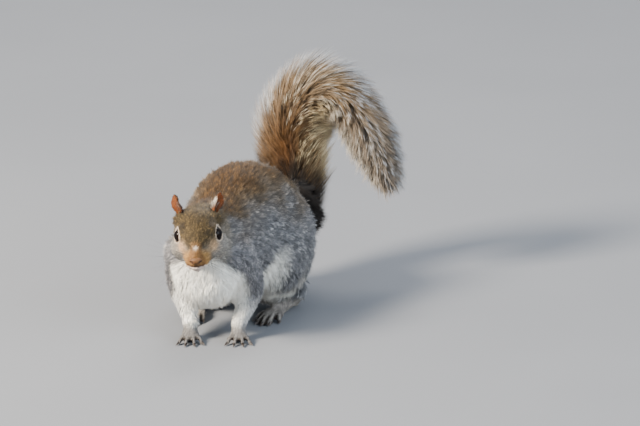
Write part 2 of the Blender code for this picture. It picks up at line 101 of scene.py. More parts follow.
def mix(first: Array, second: Array, share: Array) -> Array:
    """First where share is 0 and second where it is 1."""
    return first + (second - first) * share


def tinted(colours: Array, tint: Sequence[float], share: Array) -> Array:
    """Colours turned to a tint by a share for each."""
    return mix(colours, np.array(tint), share[:, None])


def lengths(vectors: Array) -> Array:
    """The length of each vector."""
    return np.linalg.norm(vectors, axis=-1)


def flattened(vectors: Array, normals: Array) -> Array:
    """Vectors laid at right angles to the normals, at length one."""
    return unit(vectors - normals * (vectors * normals).sum(axis=-1, keepdims=True))


def numbered(rows: Array) -> Array:
    """A number for each row, shared by the rows that are alike."""
    return np.unique(rows, axis=0, return_inverse=True)[1].ravel()


def middles(points: Array, group: Array) -> Array:
    """For each point, the middle of the group that it belongs to."""
    size = np.bincount(group)
    return np.stack([np.bincount(group, points[:, axis]) / size for axis in range(3)], axis=1)[group]


def ripple(points: Array, wavelength: float, seed: int) -> Array:
    """A smooth pattern from -1 to 1 that wanders over a distance.

    Args:
        points: Positions in millimetres, one to a row.
        wavelength: How far apart the hills are, in millimetres.
        seed: Which pattern it is.

    Returns:
        One value for each point.
    """
    draws = np.random.default_rng(seed)
    waves, spread, latest, height = 6, (0.7, 1.4), 6.3, 3.5
    total = np.zeros(len(points))
    for _ in range(waves):
        direction = draws.normal(size=3)
        direction *= 2.0 * math.pi / (wavelength * np.linalg.norm(direction))
        stretched = direction * draws.uniform(*spread)
        total += np.sin(points @ stretched + draws.uniform(0.0, latest))
    return total / height


# ---- axes ----
@dataclass(frozen=True)
class Axes:
    """Where the animal's own axes and its head's axes lie in the row frame."""

    shift: Array
    head_origin: Array
    head_turn: Array

    EYES_MIDDLE = np.array([-7.2, -12.0, 84.5])
    EYES_OFFSET = np.array([0.0, 0.6, -0.2])
    NOSE_FROM_EYES = np.array([0.0, -27.3, -9.5])

    @classmethod
    def from_frame(cls) -> Axes:
        """Works the axes out from the eyes and the nose.

        Returns:
            The axes, with every vector in millimetres.
        """
        left, right, nose = (box_middle(name) for name in ("eye_left", "eye_right", "nose"))
        across = unit(left - right)
        middle = (left + right) / 2.0
        ahead = flattened(nose - middle, across)
        over = np.cross(across, ahead)
        _, level, drop = unit(cls.NOSE_FROM_EYES)
        turn = np.stack([across, level * ahead - drop * over, drop * ahead + level * over], axis=1)
        origin_in_row = middle - turn @ cls.EYES_OFFSET
        return cls(origin_in_row - cls.EYES_MIDDLE, cls.EYES_MIDDLE, turn)

    def from_row(self, metres: Array) -> Array:
        """Animal axes from the row frame."""
        return metres / MM - self.shift

    def to_row(self, points: Array) -> Array:
        """The row frame from animal axes."""
        return (points + self.shift) * MM

    def in_head(self, points: Array) -> Array:
        """Head axes from animal axes."""
        return (points - self.head_origin) @ self.head_turn

    def from_head(self, points: Array) -> Array:
        """Animal axes from head axes."""
        return points @ self.head_turn.T + self.head_origin

    def heading(self, direction: Sequence[float], side: str = "left") -> Array:
        """A direction of the left side in head axes, turned into animal axes for either side."""
        return unit(np.array(direction) * (SIDES[side], 1.0, 1.0)) @ self.head_turn.T

    def off_floor(self, points: Array, gap: float) -> Array:
        """Points in animal axes, with none nearer the floor than a gap."""
        return np.maximum(points, (-np.inf, -np.inf, gap - self.shift[2]))


def box_middle(node: str) -> Array:
    """The middle of a solid's box, in millimetres in the row frame."""
    low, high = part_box(node)
    return (np.array(low) + np.array(high)) / 2.0 / MM


AXES = Axes.from_frame()


def eye_centre(side: str) -> Array:
    """The middle of an eyeball, in animal axes."""
    return box_middle(f"eye_{side}") - AXES.shift


def eye_reach(points: Array, side: str) -> Array:
    """How far each point lies from the middle of an eyeball."""
    return lengths(points - eye_centre(side))


# ---- colours ----
@dataclass(frozen=True)
class Palette:
    """The squirrel's colours, as linear red, green and blue."""

    saddle: Colour = (0.046, 0.0215, 0.0035)
    back: Colour = (0.072, 0.052, 0.031)
    flank: Colour = (0.158, 0.157, 0.163)
    shoulder: Colour = (0.146, 0.143, 0.15)
    white: Colour = (0.93, 0.895, 0.8)
    cream: Colour = (0.42, 0.39, 0.34)
    leg: Colour = (0.55, 0.54, 0.52)
    foot: Colour = (0.16, 0.148, 0.138)
    instep: Colour = (0.26, 0.23, 0.2)
    toe: Colour = (0.2, 0.18, 0.165)
    sole: Colour = (0.07, 0.05, 0.042)
    crown: Colour = (0.05, 0.033, 0.012)
    brow: Colour = (0.012, 0.008, 0.005)
    cheek: Colour = (0.115, 0.097, 0.075)
    muzzle: Colour = (0.29, 0.158, 0.052)
    snout: Colour = (0.165, 0.08, 0.026)
    chin: Colour = (0.6, 0.48, 0.41)
    eye_ring: Colour = (0.58, 0.46, 0.35)
    lip: Colour = (0.045, 0.022, 0.015)
    ear_rust: Colour = (0.12, 0.031, 0.0045)
    ear_cream: Colour = (0.8, 0.74, 0.62)
    tail_core: Colour = (0.06, 0.0198, 0.0017)
    tail_tan: Colour = (0.2, 0.11, 0.034)
    tail_cream: Colour = (0.74, 0.575, 0.325)
    tail_dark: Colour = (0.032, 0.023, 0.016)
    tail_silver: Colour = (0.37, 0.375, 0.385)
    tail_grey: Colour = (0.15, 0.112, 0.074)
    # Near-black painted shade for the deep shadow between the rump and the tail, laid on the rump round the
    # tail's root and on the tail's base.
    tail_root_shade: Colour = (0.012, 0.009, 0.007)
    tail_end: Colour = (0.15, 0.133, 0.114)
    tail_umber: Colour = (0.135, 0.07, 0.022)
    jowl: Colour = (0.215, 0.197, 0.172)
    under_eye: Colour = (0.6, 0.35, 0.16)
    spot: Colour = (0.52, 0.42, 0.33)
    nose: Colour = (0.118, 0.054, 0.017)
    # Painted shade in the clefts between the toes.
    toe_cleft_shade: Colour = (0.022, 0.015, 0.011)


PALETTE = Palette()


# ---- surfaces ----
@dataclass
class Surface:
    """A triangle mesh in animal axes, with values at its points."""

    points: Array
    faces: Array
    normals: Array
    values: dict[str, Array] = field(default_factory=dict)

    @classmethod
    def from_object(cls, obj: Object) -> Surface:
        """Reads an object's own mesh.

        Args:
            obj: A mesh object in the row frame, with no modifiers left.

        Returns:
            The surface, with triangles.
        """
        mesh = obj.data
        mesh.calc_loop_triangles()

        def read(items: bpy.types.bpy_prop_collection, key: str, kind: type) -> Array:
            """Three numbers for each item."""
            values = np.empty(len(items) * 3, kind)
            items.foreach_get(key, values)
            return values.reshape(-1, 3)

        points = read(mesh.vertices, "co", np.float32).astype(np.float64)
        normals = read(mesh.vertex_normals, "vector", np.float32).astype(np.float64)
        return cls(AXES.from_row(points), read(mesh.loop_triangles, "vertices", np.int32), unit(normals))

    def edges(self) -> Array:
        """Each pair of neighbouring points, once."""
        pairs = np.concatenate([self.faces[:, [0, 1]], self.faces[:, [1, 2]], self.faces[:, [2, 0]]])
        return np.unique(np.sort(pairs, axis=1), axis=0)

    def softened(self, values: Array, rounds: int) -> Array:
        """Values averaged with those of the neighbouring points.

        Args:
            values: One value or vector for each point.
            rounds: How often to average.

        Returns:
            The averaged values, in the same shape.
        """
        first, second = self.edges().T
        count = len(self.points)

        def gathered(at_first: Array | None, at_second: Array | None) -> Array:
            """The neighbours' values added up at each point, or their count."""
            return np.bincount(first, at_second, count) + np.bincount(second, at_first, count)

        degree = np.maximum(gathered(None, None), 1)
        columns = values.reshape(count, -1).T.astype(np.float64)
        for _ in range(rounds):
            total = np.stack([gathered(column[first], column[second]) for column in columns])
            columns = 0.5 * columns + 0.5 * total / degree
        return columns.T.reshape(values.shape)

    def scatter(self, density: Array, seed: int) -> Roots:
        """Places roots at random over the surface.

        Args:
            density: Roots per square millimetre at each point of the surface.
            seed: Which random places.

        Returns:
            The roots, with the surface's values at each of them.
        """
        draws = np.random.default_rng(seed)
        corners = self.points[self.faces]
        area = lengths(np.cross(corners[:, 1] - corners[:, 0], corners[:, 2] - corners[:, 0])) / 2.0
        total = np.cumsum(area * density[self.faces].mean(axis=1))
        count = int(total[-1])
        picks = np.searchsorted(total, (np.arange(count) + draws.uniform(size=count)) * total[-1] / count)
        picks = np.minimum(picks, len(total) - 1)
        first, second = draws.uniform(size=(2, count))
        flip = first + second > 1.0
        first[flip], second[flip] = 1.0 - first[flip], 1.0 - second[flip]
        shares = np.stack([1.0 - first - second, first, second], axis=1)[:, :, None]

        def at_roots(values: Array) -> Array:
            """The surface's values at the roots."""
            columns = values.reshape(len(values), -1)
            return (columns[self.faces[picks]] * shares).sum(axis=1).reshape(count, *values.shape[1:])

        values = {name: at_roots(value) for name, value in self.values.items()}
        return Roots(at_roots(self.points), unit(at_roots(self.normals)), values)


@dataclass
class Roots:
    """Places on a surface where tufts grow, in animal axes."""

    points: Array
    normals: Array
    values: dict[str, Array]


def linked(name: str, data: bpy.types.ID) -> Object:
    """A new object in the scene with a mesh, a light or a camera.

    Args:
        name: Its name.
        data: What it shows.

    Returns:
        The object.
    """
    obj = bpy.data.objects.new(name, data)
    bpy.context.scene.collection.objects.link(obj)
    return obj


def built(name: str, bm: bmesh.types.BMesh) -> Object:
    """A new object in the scene with the mesh that bm holds, which is then let go.

    Args:
        name: Its name.
        bm: The mesh while it is being built.

    Returns:
        The object.
    """
    mesh = bpy.data.meshes.new(name)
    bm.to_mesh(mesh)
    bm.free()
    return linked(name, mesh)


def move_points(obj: Object, points: Array) -> None:
    """Moves an object's points to places in animal axes."""
    obj.data.vertices.foreach_set("co", AXES.to_row(points).astype(np.float32).ravel())
    obj.data.update()


def mesh_object(name: str, points: Array, faces: Array, loops_uv: Array | None = None) -> Object:
    """Makes a mesh object from arrays.

    Args:
        name: The object's name.
        points: Points in animal axes.
        faces: Triangles, as three point numbers to a row.
        loops_uv: One UV for each corner of each triangle, or None.

    Returns:
        The object, linked to the scene, in the row frame.
    """
    mesh = bpy.data.meshes.new(name)
    mesh.vertices.add(len(points))
    mesh.vertices.foreach_set("co", AXES.to_row(points).astype(np.float32).ravel())
    mesh.loops.add(len(faces) * 3)
    mesh.loops.foreach_set("vertex_index", faces.astype(np.int32).ravel())
    mesh.polygons.add(len(faces))
    mesh.polygons.foreach_set("loop_start", np.arange(0, len(faces) * 3, 3, dtype=np.int32))
    mesh.update(calc_edges=True)
    mesh.shade_smooth()
    if loops_uv is not None:
        layer = mesh.uv_layers.new(name="OFBake")
        layer.data.foreach_set("uv", loops_uv.astype(np.float32).ravel())
    return linked(name, mesh)


def add_values(obj: Object, name: str, values: Array) -> None:
    """Stores one number or one colour for each point of a mesh.

    Args:
        obj: The mesh object.
        name: The attribute's name.
        values: Numbers, or rows of red, green and blue.
    """
    if values.ndim == 1:
        attribute = obj.data.attributes.new(name, "FLOAT", "POINT")
        attribute.data.foreach_set("value", values.astype(np.float32))
        return
    attribute = obj.data.attributes.new(name, "FLOAT_COLOR", "POINT")
    padded = np.ones((len(values), 4), np.float32)
    padded[:, :3] = values
    attribute.data.foreach_set("color", padded.ravel())


def melted(obj: Object, voxel: float, rounds: int) -> Object:
    """Remeshes an object into one even skin, softened, with no modifiers left.

    Args:
        obj: The object, whose mesh is replaced.
        voxel: The new faces' size, in millimetres.
        rounds: How often the skin is smoothed.

    Returns:
        The same object.
    """
    remesh = obj.modifiers.new("melt", "REMESH")
    remesh.mode = "VOXEL"
    remesh.voxel_size = voxel * MM
    soften = obj.modifiers.new("soften", "SMOOTH")
    soften.factor = 0.5
    soften.iterations = rounds
    old = obj.data
    mesh = bpy.data.meshes.new_from_object(obj.evaluated_get(bpy.context.evaluated_depsgraph_get()))
    obj.modifiers.clear()
    obj.data = mesh
    bpy.data.meshes.remove(old)
    return obj


# ---- the regions of the body ----
class BodyMap:
    """Tells which named part a point belongs to, as soft regions that the coat's depth and colour are worked
    out from.
    """

    REGIONS = {
        "head": ("head",),
        "neck": ("neck",),
        "leg": ("foreleg", "forepaw"),
        "paw": ("forepaw",),
        "thigh": ("thigh",),
        "foot": ("hind_foot",),
        "dock": ("tail",),
    }
    ROUNDS = 14
    MUZZLE_SPAN = (-6.0, -19.0)

    def __init__(self) -> None:
        """Gathers the flesh solids into one tree."""
        corners: list[Array] = []
        self.names: list[str] = []
        labels: list[int] = []
        for name in [*FLESH, TAIL_NODES[0]]:
            surface = Surface.from_object(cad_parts[name])
            corners.append(surface.points[surface.faces].reshape(-1, 3))
            labels += [len(self.names)] * len(surface.faces)
            self.names.append(name)
        points = np.concatenate(corners)
        faces = np.arange(len(points)).reshape(-1, 3)
        self.labels = np.array(labels)
        self.tree = BVHTree.FromPolygons(points.tolist(), faces.tolist())

    def label_points(self, points: Array) -> Array:
        """The number of the nearest solid for each point."""
        nearest = [self.tree.find_nearest(point)[2] for point in points.tolist()]
        return self.labels[np.array(nearest)]

    def share_of(self, labels: Array, *starts: str) -> Array:
        """1 where the label's name starts with one of the given words, and 0 elsewhere."""
        numbers = [index for index, name in enumerate(self.names) if name.startswith(starts)]
        return np.isin(labels, numbers).astype(np.float64)

    def describe(self, surface: Surface) -> None:
        """Adds the soft regions to a surface.

        Args:
            surface: The full outline of the flesh, in animal axes.
        """
        labels = self.label_points(surface.points)
        for name, starts in self.REGIONS.items():
            surface.values[name] = surface.softened(self.share_of(labels, *starts), self.ROUNDS)
        muzzle = fade(*self.MUZZLE_SPAN, AXES.in_head(surface.points)[:, 1])
        surface.values["muzzle"] = muzzle * surface.values["head"]


class CoatDepth:
    """How far the skin lies inside the tips of the fur, in millimetres."""

    BODY, BELLY, NECK, LEG, THIGH, FOOT, HEAD, MUZZLE, DOCK = 3.1, 4.2, 3.4, 1.9, 3.1, 0.6, 1.6, 0.7, 7.0
    NAPE_SHARE = 0.8
    LID_SHARE = 0.12
    UNDERNEATH = (0.1, -0.8)
    EYE_REACH = (6.0, 11.0)
    SOLE_HEIGHT = (0.4, 2.5)
    FACE_SPAN = (30.0, 2.0)
    ROUNDS = 10

    def at(self, surface: Surface) -> Array:
        """The depth at each point.

        Args:
            surface: The full outline, with its regions.

        Returns:
            One depth for each point.
        """
        values = surface.values
        depth = mix(self.BODY, self.BELLY, fade(*self.UNDERNEATH, surface.normals[:, 2]))
        depth = mix(depth, self.NECK, values["neck"])
        depth = mix(depth, self.THIGH, values["thigh"])
        depth = mix(depth, self.LEG, values["leg"])
        depth = mix(depth, self.FOOT, np.maximum(values["foot"], values["paw"]))
        short = fade(*self.FACE_SPAN, AXES.in_head(surface.points)[:, 1])
        depth = mix(depth, mix(self.NECK * self.NAPE_SHARE, self.HEAD, short), values["head"])
        depth = mix(depth, self.MUZZLE, values["muzzle"])
        depth = mix(depth, self.DOCK, values["dock"])
        for side in SIDES:
            depth *= mix(self.LID_SHARE, 1.0, fade(*self.EYE_REACH, eye_reach(surface.points, side)))
        sole = fade(*self.SOLE_HEIGHT, AXES.to_row(surface.points)[:, 2] / MM)
        return surface.softened(depth, self.ROUNDS) * sole


# ---- the skin ----
@dataclass
class TailLine:
    """The tail's core and how far its hair reaches, in axes turned with the tail."""

    turn: float = 18.0
    stations: tuple[tuple[float, ...], ...] = (
        (44.0, 137.0, 48.0, 20.0, 20.0),
        (51.0, 152.0, 54.0, 27.0, 21.0),
        (55.0, 163.0, 74.0, 29.5, 20.0),
        (55.0, 168.0, 97.0, 31.0, 21.0),
        (55.0, 169.0, 118.0, 33.0, 22.0),
        (64.0, 168.0, 136.0, 34.0, 23.0),
        (79.0, 166.0, 146.0, 34.0, 22.0),
        (95.0, 164.0, 139.0, 27.0, 20.0),
        (107.5, 161.0, 122.0, 23.5, 18.0),
        (118.0, 159.0, 101.0, 22.5, 16.0),
        (126.0, 157.0, 80.0, 17.0, 12.0),
        (132.0, 156.0, 66.0, 8.0, 6.0),
    )
    samples: int = 240

    def __post_init__(self) -> None:
        """Runs a smooth curve through the stations, evenly spaced along its length."""
        rows = np.array(self.stations)
        angle = math.radians(self.turn)
        cos, sin = math.cos(angle), math.sin(angle)
        rows[:, :2] = rows[:, :2] @ np.array([[cos, sin], [-sin, cos]])
        dense = self._smooth(rows)
        length = np.append(0.0, np.cumsum(lengths(np.diff(dense[:, :3], axis=0))))
        even = np.linspace(0.0, length[-1], self.samples)
        self.length = float(length[-1])
        self.table = np.stack([np.interp(even, length, dense[:, column]) for column in range(5)], axis=1)
        along = unit(np.gradient(self.table[:, :3], axis=0))
        depth = flattened(np.array([-sin, cos, 0.0]), along)
        self.along, self.depth, self.breadth = along, depth, np.cross(along, depth)

    @staticmethod
    def _smooth(rows: Array) -> Array:
        """A Catmull-Rom curve through the rows.

        Args:
            rows: The stations, one to a row.

        Returns:
            Many more rows along the same path.
        """
        padded = np.concatenate([[2 * rows[0] - rows[1]], rows, [2 * rows[-1] - rows[-2]]])
        share = np.linspace(0.0, 1.0, 24, endpoint=False)[:, None]
        pieces = []
        for a, b, c, d in zip(padded, padded[1:], padded[2:], padded[3:]):
            cubic = (2 * b) + (c - a) * share + (2 * a - 5 * b + 4 * c - d) * share**2
            pieces.append(0.5 * (cubic + (3 * b - a - 3 * c + d) * share**3))
        return np.concatenate([*pieces, rows[-1:]])

    def at(self, share: Array) -> dict[str, Array]:
        """The curve's place, axes and reach at shares of its length from 0 to 1.

        Args:
            share: Where along the tail.

        Returns:
            Place, half_breadth, half_depth, along, depth and breadth, one row to a share.
        """
        position = np.clip(share, 0.0, 1.0) * (self.samples - 1)
        low = np.minimum(position.astype(int), self.samples - 2)
        part = (position - low)[:, None]

        def between(table: Array) -> Array:
            """A table's rows at the shares."""
            return mix(table[low], table[low + 1], part)

        row = between(self.table)
        axes = {name: unit(between(getattr(self, name))) for name in ("along", "depth", "breadth")}
        return {"place": row[:, :3], "half_breadth": row[:, 3], "half_depth": row[:, 4], **axes}


@dataclass
class Lids:
    """The rims round an eye, with an almond opening."""

    ball: float = 4.9
    opening: float = 42.0
    corner: float = 14.0
    sharpness: int = 3
    rim: float = 0.75
    rim_span: Span = (-2.0, 7.0)
    tucked: float = 0.86
    tucked_span: Span = (-7.0, 0.0)
    blend_span: Span = (34.0, 7.0)
    near_span: Span = (2.1, 1.5)
    facing: Triple = (0.90, -0.38, 0.16)
    corner_line: Triple = (0.25, 0.80, 0.42)

    def raise_from(self, points: Array, side: str) -> Array:
        """Moves the skin near an eye into lids.

        Args:
            points: The skin's points, in animal axes.
            side: Which eye.

        Returns:
            The moved points.
        """
        facing = AXES.heading(self.facing, side)
        corners = flattened(AXES.heading(self.corner_line, side), facing)
        centre = eye_centre(side)
        reach = eye_reach(points, side)
        direction = (points - centre) / np.maximum(reach, 1e-6)[:, None]
        angle = np.degrees(np.arccos(np.clip(direction @ facing, -1.0, 1.0)))
        toward_corner = (flattened(direction, facing) @ corners) ** 2
        past = angle - self.opening - self.corner * toward_corner**self.sharpness
        rim = self.ball + self.rim * fade(*self.rim_span, past)
        behind = self.ball * mix(self.tucked, 1.0, fade(*self.tucked_span, past))
        inner = np.where(past < 0.0, behind, rim)
        share = fade(*self.blend_span, past) * fade(*self.near_span, reach / self.ball)
        return centre + direction * mix(reach, inner, share)[:, None]


@dataclass
class Mouth:
    """The closed mouth's line round the front of the muzzle, in head axes."""

    height: float = -13.6
    rise: float = -0.3
    rise_span: Span = (2.0, 7.0)
    front_span: Span = (-12.0, -16.0)
    depth: float = 0.9
    width: float = 0.75
    lip: float = 0.35
    lip_place: float = 1.5
    lip_width: float = 0.9
    half: Span = (10.5, 7.5)
    split_depth: float = 0.5
    split_bottom: Span = (-0.5, 1.0)
    split_width: float = 0.55
    split_top: Span = (-6.5, -9.5)
    split_front: Span = (-20.0, -24.0)

    def line_share(self, head: Array) -> Array:
        """1 on the mouth's line and 0 away from it.

        Args:
            head: Points in head axes.

        Returns:
            One share for each point.
        """
        aside = np.abs(head[:, 0])
        level = self.height + self.rise * fade(*self.rise_span, aside)
        within = fade(*self.front_span, head[:, 1]) * fade(*self.half, aside)
        return bump(0.0, self.width, head[:, 2] - level) * within

    def press(self, points: Array, normals: Array) -> Array:
        """Presses the line into the skin, rolls the lips beside it and parts them under the nose.

        Args:
            points: The skin's points, in animal axes.
            normals: Their normals.

        Returns:
            The moved points.
        """
        head = AXES.in_head(points)
        front = fade(*self.front_span, head[:, 1])
        level = head[:, 2] - self.height
        lips = bump(self.lip_place, self.lip_width, level) + bump(-self.lip_place, self.lip_width, level)
        split = bump(0.0, self.split_width, head[:, 0]) * fade(*self.split_bottom, level)
        split *= fade(*self.split_top, head[:, 2]) * fade(*self.split_front, head[:, 1])
        raised = front * (lips * self.lip - split * self.split_depth) - self.line_share(head) * self.depth
        return points + normals * raised[:, None]


@dataclass
class Muzzle:
    """How the snout narrows towards the nose, in head axes."""

    span: Span = (-9.0, -21.0)
    narrow: float = 0.70
    tip_span: Span = (-19.0, -26.0)
    tip_narrow: float = 0.72
    bridge_span: Span = (-11.0, -6.0)
    bridge_narrow: float = 0.86
    middle: Triple = (0.0, -20.0, -10.0)
    near_span: Span = (26.0, 20.0)
    swing: float = -1.6
    swing_span: Span = (-6.0, -25.0)
    throat_span: Span = (-26.0, -19.0)

    def swung(self, head: Array) -> Array:
        """How far the muzzle lies to one side at each point in head axes, as it looks a little aside."""
        return self.swing * fade(*self.swing_span, head[:, 1])

    def pinch(self, points: Array) -> Array:
        """Narrows the muzzle and turns it a little aside.

        Args:
            points: The skin's points, in animal axes.

        Returns:
            The moved points.
        """
        head = AXES.in_head(points)
        forward = fade(*self.span, head[:, 1])
        share = mix(1.0, self.narrow, forward)
        share *= mix(1.0, self.tip_narrow, fade(*self.tip_span, head[:, 1]))
        share *= mix(1.0, self.bridge_narrow, forward * fade(*self.bridge_span, head[:, 2]))
        near = fade(*self.near_span, lengths(head - np.array(self.middle)))
        aside = self.swung(head) * fade(*self.throat_span, head[:, 2])
        head[:, 0] = head[:, 0] * mix(1.0, share, near) + aside
        return AXES.from_head(head)


class Skin:
    """One closed skin in place of all the flesh, drawn in by the depth of the coat."""

    VOXEL = 0.8
    GROWN = 0.25
    OUTLINE_ROUNDS = 8
    SKIN_ROUNDS = 4
    FLOOR_GAP = 0.05
    FINE_REACH = 8.5
    FINE_FACE = (-15.0, -22.0)
    CORE_RADII = (8.5, 3.2, 1.6)
    CORE_STOPS = (0.0, 0.35, 1.0)
    CORE_SHARE = 0.86
    CORE_RINGS, CORE_SIDES = 60, 12
    CORE_INSIDE = 14.0

    def __init__(self, regions: BodyMap, tail: TailLine) -> None:
        """Keeps what the skin is worked out from.

        Args:
            regions: Tells which named part a point belongs to.
            tail: The tail's line.
        """
        self.regions = regions
        self.tail = tail
        self.lids = Lids()
        self.mouth = Mouth()
        self.muzzle = Muzzle()

    def build(self) -> tuple[Object, Surface]:
        """Makes the skin.

        Returns:
            The skin's object and its surface, with all its values.
        """
        outline = self._outline()
        surface = Surface.from_object(outline)
        self.regions.describe(surface)
        drawn = surface.points - surface.normals * CoatDepth().at(surface)[:, None]
        move_points(outline, AXES.off_floor(drawn, self.FLOOR_GAP))
        self._add_tail_core(outline)
        melted(outline, self.VOXEL, self.SKIN_ROUNDS)
        self._refine_face(outline)
        skin = Surface.from_object(outline)
        points = self.muzzle.pinch(self.mouth.press(skin.points, skin.normals))
        for side in SIDES:
            points = self.lids.raise_from(points, side)
        move_points(outline, points)
        outline.name = outline.data.name = "skin"
        skin = Surface.from_object(outline)
        self.regions.describe(skin)
        return outline, skin

    def _outline(self) -> Object:
        """The flesh solids grown until their cuts close, melted into one."""
        bm = bmesh.new()
        for name in FLESH:
            bm.from_mesh(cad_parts[name].data)
        bmesh.ops.remove_doubles(bm, verts=bm.verts, dist=1e-6)
        obj = built("outline", bm)
        grow = obj.modifiers.new("grow", "DISPLACE")
        grow.strength = self.GROWN * MM
        grow.mid_level = 0.0
        return melted(obj, self.VOXEL, self.OUTLINE_ROUNDS)

    def _add_tail_core(self, obj: Object) -> None:
        """Joins a tapered tube along the tail's core to the skin.

        Args:
            obj: The skin so far.
        """
        shares = np.linspace(0.0, self.CORE_SHARE, self.CORE_RINGS)
        line = self.tail.at(shares)
        radii = np.interp(shares / self.CORE_SHARE, self.CORE_STOPS, self.CORE_RADII)
        angles = np.linspace(0.0, 2.0 * math.pi, self.CORE_SIDES, endpoint=False)[:, None]
        bm = bmesh.new()
        bm.from_mesh(obj.data)
        loops = []
        for ring in (0, *range(self.CORE_RINGS)):
            centre = line["place"][ring] - (0.0 if loops else self.CORE_INSIDE) * line["along"][0]
            spokes = np.cos(angles) * line["breadth"][ring] + np.sin(angles) * line["depth"][ring]
            loops.append([bm.verts.new(point) for point in AXES.to_row(centre + spokes * radii[ring])])
        for near, far in zip(loops, loops[1:]):
            for a in range(self.CORE_SIDES):
                b = (a + 1) % self.CORE_SIDES
                bm.faces.new((near[a], near[b], far[b], far[a]))
        bm.faces.new(reversed(loops[0]))
        bm.faces.new(loops[-1])
        bm.to_mesh(obj.data)
        bm.free()

    def _refine_face(self, obj: Object) -> None:
        """Splits the skin's faces round the eyes and the mouth, where the folds are small.

        Args:
            obj: The skin so far.
        """
        surface = Surface.from_object(obj)
        head = AXES.in_head(surface.points)
        front, low = self.FINE_FACE
        near = (head[:, 1] < front) & (head[:, 2] > low)
        for side in SIDES:
            near |= eye_reach(surface.points, side) < self.FINE_REACH
        bm = bmesh.new()
        bm.from_mesh(obj.data)
        chosen = set(np.flatnonzero(near).tolist())
        edges = [edge for edge in bm.edges if chosen.issuperset(vert.index for vert in edge.verts)]
        bmesh.ops.subdivide_edges(bm, edges=edges, cuts=1, use_grid_fill=True, smooth=0.6)
        bmesh.ops.triangulate(bm, faces=[face for face in bm.faces if len(face.verts) > 4])
        bm.to_mesh(obj.data)
        bm.free()


# ---- markings ----
@dataclass(frozen=True)
class Patch:
    """One patch of colour on the head, which fades in over a span of each head axis.

    A span goes from where the patch is absent to where it is full. Across is
    counted from the middle of the face to both sides.
    """

    tint: Colour
    grain: float
    share: float = 1.0
    across: Span | None = None
    length: Span | None = None
    height: Span | None = None
    tilt: Span = (0.0, 0.0)
    wander: Span = (0.0, 0.0)

    def shares(self, x: Array, y: Array, z: Array, wander: Array) -> Array:
        """How full the patch is at each point.

        Args:
            x: How far each point is from the middle of the face.
            y: Its place along the head.
            z: Its height.
            wander: The pattern that makes edges uneven.

        Returns:
            One share for each point.
        """
        height = z + self.tilt[0] * x + self.tilt[1] * y + self.wander[1] * wander
        full = np.full(len(x), self.share)
        length = y + self.wander[0] * wander
        for span, values in ((self.across, x), (self.length, length), (self.height, height)):
            if span is not None:
                full *= fade(*span, values)
        return full


FACE = (
    Patch(PALETTE.cheek, 0.85),
    Patch(PALETTE.jowl, 0.8, across=(8.0, 12.0), length=(16.0, 6.0), height=(-1.0, -8.0)),
    Patch(PALETTE.crown, 1.2, height=(-7.85, -0.85), tilt=(-0.35, 0.0), wander=(0.0, 1.5)),
)
MUZZLE_PATCHES = (
    Patch(PALETTE.muzzle, 0.5, 1.0, None, (-12.0, -18.0), (-8.4, -13.4), tilt=(0.0, 0.3), wander=(1.5, 0.0)),
    Patch(PALETTE.snout, 0.4, across=(7.4, 5.6), length=(-19.5, -22.5), height=(-2.5, -5.0)),
    Patch(PALETTE.snout, 0.6, 0.55, across=(4.5, 2.5), length=(-15.5, -19.0), height=(-7.0, -3.0)),
    Patch(PALETTE.jowl, 0.5, 0.6, across=(13.0, 19.0), length=(-4.0, 12.0), height=(-4.0, -12.0)),
)
CHIN = Patch(PALETTE.chin, 0.0, length=(-19.0, -22.0), height=(-13.9, -14.6))


